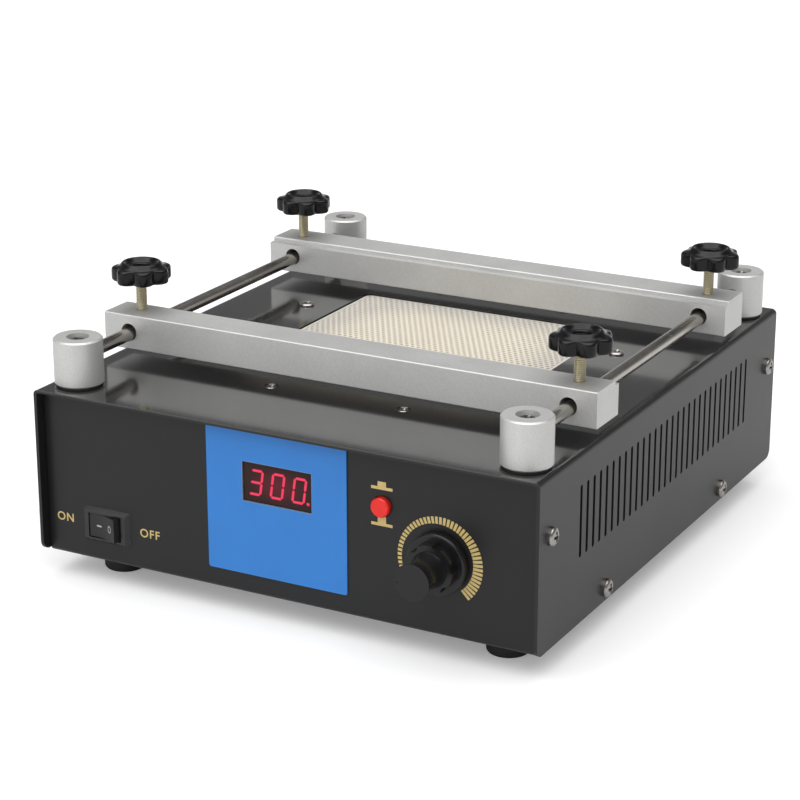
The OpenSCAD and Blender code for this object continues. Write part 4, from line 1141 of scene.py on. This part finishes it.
class PREHEATER_OT_display(bpy.types.Operator):
    """Light the digits behind the filter and edge the window"""

    bl_idname = "preheater.display"
    bl_label = "Display"

    SEGMENTS = {"3": "abcdg", "0": "abcdef"}
    # Depth of the lit shapes' backs behind the filter's face
    SUNK = 0.05 * MM

    def execute(self, context):
        settings = context.scene.preheater.display
        low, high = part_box("display_window")
        middle = (low + high) / 2
        face = low.y
        bm = bmesh.new()
        for place, digit in zip((-1, 0, 1), "300"):
            x = middle.x + place * settings.digit_pitch
            self.add_digit(bm, settings, self.SEGMENTS[digit], x, middle.z, face)
        self.add_point(bm, settings, middle, face)
        add_piece("lit_digits", mesh_from("lit_digits", bm), "lit_segment", "housing")
        edge = bmesh.new()
        wide, tall, rim = (high.x - low.x) / 2, (high.z - low.z) / 2, 0.2 * MM
        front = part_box("front_overlay")[0].y - PRINT_T
        outer, inner = (oblong(middle.x, middle.z, wide + more, tall + more) for more in (rim, 0))
        add_frame(edge, outer, inner, face, front)
        add_piece("window_edge", mesh_from("window_edge", edge), "pale_edge", "housing")
        return {"FINISHED"}

    def bar(self, half, s):
        """Outline of a level segment, pointed at both ends."""
        return [(-half, 0), (s - half, s), (half - s, s), (half, 0), (half - s, -s), (s - half, -s)]

    def add_digit(self, bm, settings, lit, x, z, face):
        """Adds the lit segments of a digit, six-sided bars with small gaps between them."""
        half_w, half_h, s = settings.digit_w / 2, settings.digit_h / 2, settings.stroke / 2
        gap = 0.12 * MM
        wide, tall = half_w - s, half_h - s
        flat = self.bar(wide - gap, s)
        upright = [(v, u + tall / 2) for u, v in self.bar(tall / 2 - gap, s)]
        places = {
            "a": [(u, v + tall) for u, v in flat],
            "g": flat,
            "d": [(u, v - tall) for u, v in flat],
            "b": [(u + wide, v) for u, v in upright],
            "c": [(u + wide, -v) for u, v in upright],
            "f": [(u - wide, v) for u, v in upright],
            "e": [(u - wide, -v) for u, v in upright],
        }
        lean = math.tan(settings.slant)
        for segment in lit:
            outline = [(x + u + v * lean, z + v) for u, v in places[segment]]
            add_prism(bm, outline, face + self.SUNK, face - PRINT_T)

    def add_point(self, bm, settings, middle, face):
        """Adds the lit point at the foot of the last digit."""
        steps, radius, gap, rise = 16, 0.75 * MM, 0.9 * MM, 0.7 * MM
        x = middle.x + settings.digit_pitch + settings.digit_w / 2 + gap
        z = middle.z - settings.digit_h / 2 + rise
        add_prism(bm, oval(x, z, radius, radius, steps), face + self.SUNK, face - PRINT_T)


class PREHEATER_OT_button(bpy.types.Operator):
    """Print the pushed-in and let-out marks under and over the button"""

    bl_idname = "preheater.button"
    bl_label = "Button marks"

    def execute(self, context):
        marks = context.scene.preheater.marks
        middle, panel = middle_of("push_button"), panel_y()
        half = marks.push_bar_w / 2
        # Half the bar's thickness and half the width of the block on it
        edge, post = 0.65 * MM, 1.95 * MM
        bm = bmesh.new()
        for side, rise in ((1, 2.2 * MM), (-1, 3.0 * MM)):
            z = middle.z + side * marks.push_rise
            outline = [
                (-half, -edge), (half, -edge), (half, edge), (post, edge), (post, edge + rise),
                (-post, edge + rise), (-post, edge), (-half, edge),
            ]
            add_prism(bm, [(middle.x + u, z + v) for u, v in outline], panel, panel - PRINT_T)
        add_piece("button_marks", mesh_from("button_marks", bm), "gold_print", "housing")
        return {"FINISHED"}


class PREHEATER_OT_dial(bpy.types.Operator):
    """Set the ticks round the dial"""

    bl_idname = "preheater.dial"
    bl_label = "Dial"

    def execute(self, context):
        marks = context.scene.preheater.marks
        middle = middle_of("dial_knob")
        inputs = {
            "Count": marks.tick_count, "Start": marks.scale_start, "Sweep": marks.scale_sweep,
            "Outer": marks.scale_r, "First": marks.first_tick, "Last": marks.last_tick,
            "Tick": marks.tick_w, "Film": PRINT_T, "Finish": finish_of("gold_print"),
        }
        mesh = baked("dial_scale", bpy.data.meshes.new("dial_scale_seed"), self.tree(), inputs)
        mesh.transform(Matrix.Translation((middle.x, panel_y() - PRINT_T / 2, middle.z)))
        add_piece("dial_scale", mesh, "gold_print", "housing")
        return {"FINISHED"}

    def tree(self):
        """Sets ticks on an arc, each longer than the one before it."""
        numbers = ("Start", "Sweep", "Outer", "First", "Last", "Tick", "Film")
        g = Growth("dial_scale_ticks", numbers, {"Count": "Int"})
        line = g.node("GeometryNodeMeshLine", None, {"Count": g.read("Count")})
        share = g.node("GeometryNodeInputIndex") / (g.read("Count") - 1)
        angle = g.read("Start") - g.read("Sweep") * share
        length = g.read("First") + (g.read("Last") - g.read("First")) * share
        reach = g.read("Outer") - length * 0.5
        cosine = g.node("ShaderNodeMath", {"operation": "COSINE"}, {0: angle})
        sine = g.node("ShaderNodeMath", {"operation": "SINE"}, {0: angle})
        place = g.node("ShaderNodeCombineXYZ", None, {"X": reach * cosine, "Z": reach * sine})
        points = g.node("GeometryNodeSetPosition", None, {"Geometry": line, "Position": place})
        unit = g.node("ShaderNodeCombineXYZ", None, {"X": 1.0, "Y": g.read("Film"), "Z": g.read("Tick")})
        tick = g.node("GeometryNodeMeshCube", None, {"Size": unit})
        turn = g.node("ShaderNodeCombineXYZ", None, {"Y": angle * -1.0})
        stretch = g.node("ShaderNodeCombineXYZ", None, {"X": length, "Y": 1.0, "Z": 1.0})
        ticks = g.node("GeometryNodeInstanceOnPoints", None, {
            "Points": points, "Instance": tick, "Rotation": turn, "Scale": stretch,
        })
        return g.end(ticks)


class PREHEATER_PT_panel(bpy.types.Panel):
    """Lists the steps that dress the preheater"""

    bl_label = "PCB preheater"
    bl_idname = "PREHEATER_PT_panel"
    bl_space_type = "VIEW_3D"
    bl_region_type = "UI"
    bl_category = "Preheater"

    def draw(self, context):
        for step in STEPS:
            self.layout.operator(step.bl_idname)
        settings = context.scene.preheater
        for group in (settings.marks, settings.display, settings.plate, settings.metal, settings.stage):
            box = self.layout.box()
            for name in group.__annotations__:
                box.prop(group, name)


GROUPS = (
    PREHEATER_PG_print, PREHEATER_PG_display, PREHEATER_PG_plate, PREHEATER_PG_metal, PREHEATER_PG_stage,
    PREHEATER_PG_settings,
)
STEPS = (
    PREHEATER_OT_finishes, PREHEATER_OT_stage, PREHEATER_OT_screws, PREHEATER_OT_thumbscrews,
    PREHEATER_OT_hot_plate, PREHEATER_OT_switch, PREHEATER_OT_display, PREHEATER_OT_button,
    PREHEATER_OT_dial,
)


def register():
    for cls in (*GROUPS, *STEPS, PREHEATER_PT_panel):
        bpy.utils.register_class(cls)
    bpy.types.Scene.preheater = PointerProperty(type=PREHEATER_PG_settings)


def unregister():
    del bpy.types.Scene.preheater
    for cls in reversed((*GROUPS, *STEPS, PREHEATER_PT_panel)):
        bpy.utils.unregister_class(cls)


def main():
    register()
    bpy.ops.preheater.finishes()
    bpy.ops.preheater.stage()
    bpy.ops.preheater.screws()
    bpy.ops.preheater.thumbscrews()
    bpy.ops.preheater.hot_plate()
    bpy.ops.preheater.switch()
    bpy.ops.preheater.display()
    bpy.ops.preheater.button()
    bpy.ops.preheater.dial()


if __name__ == "__main__":
    main()
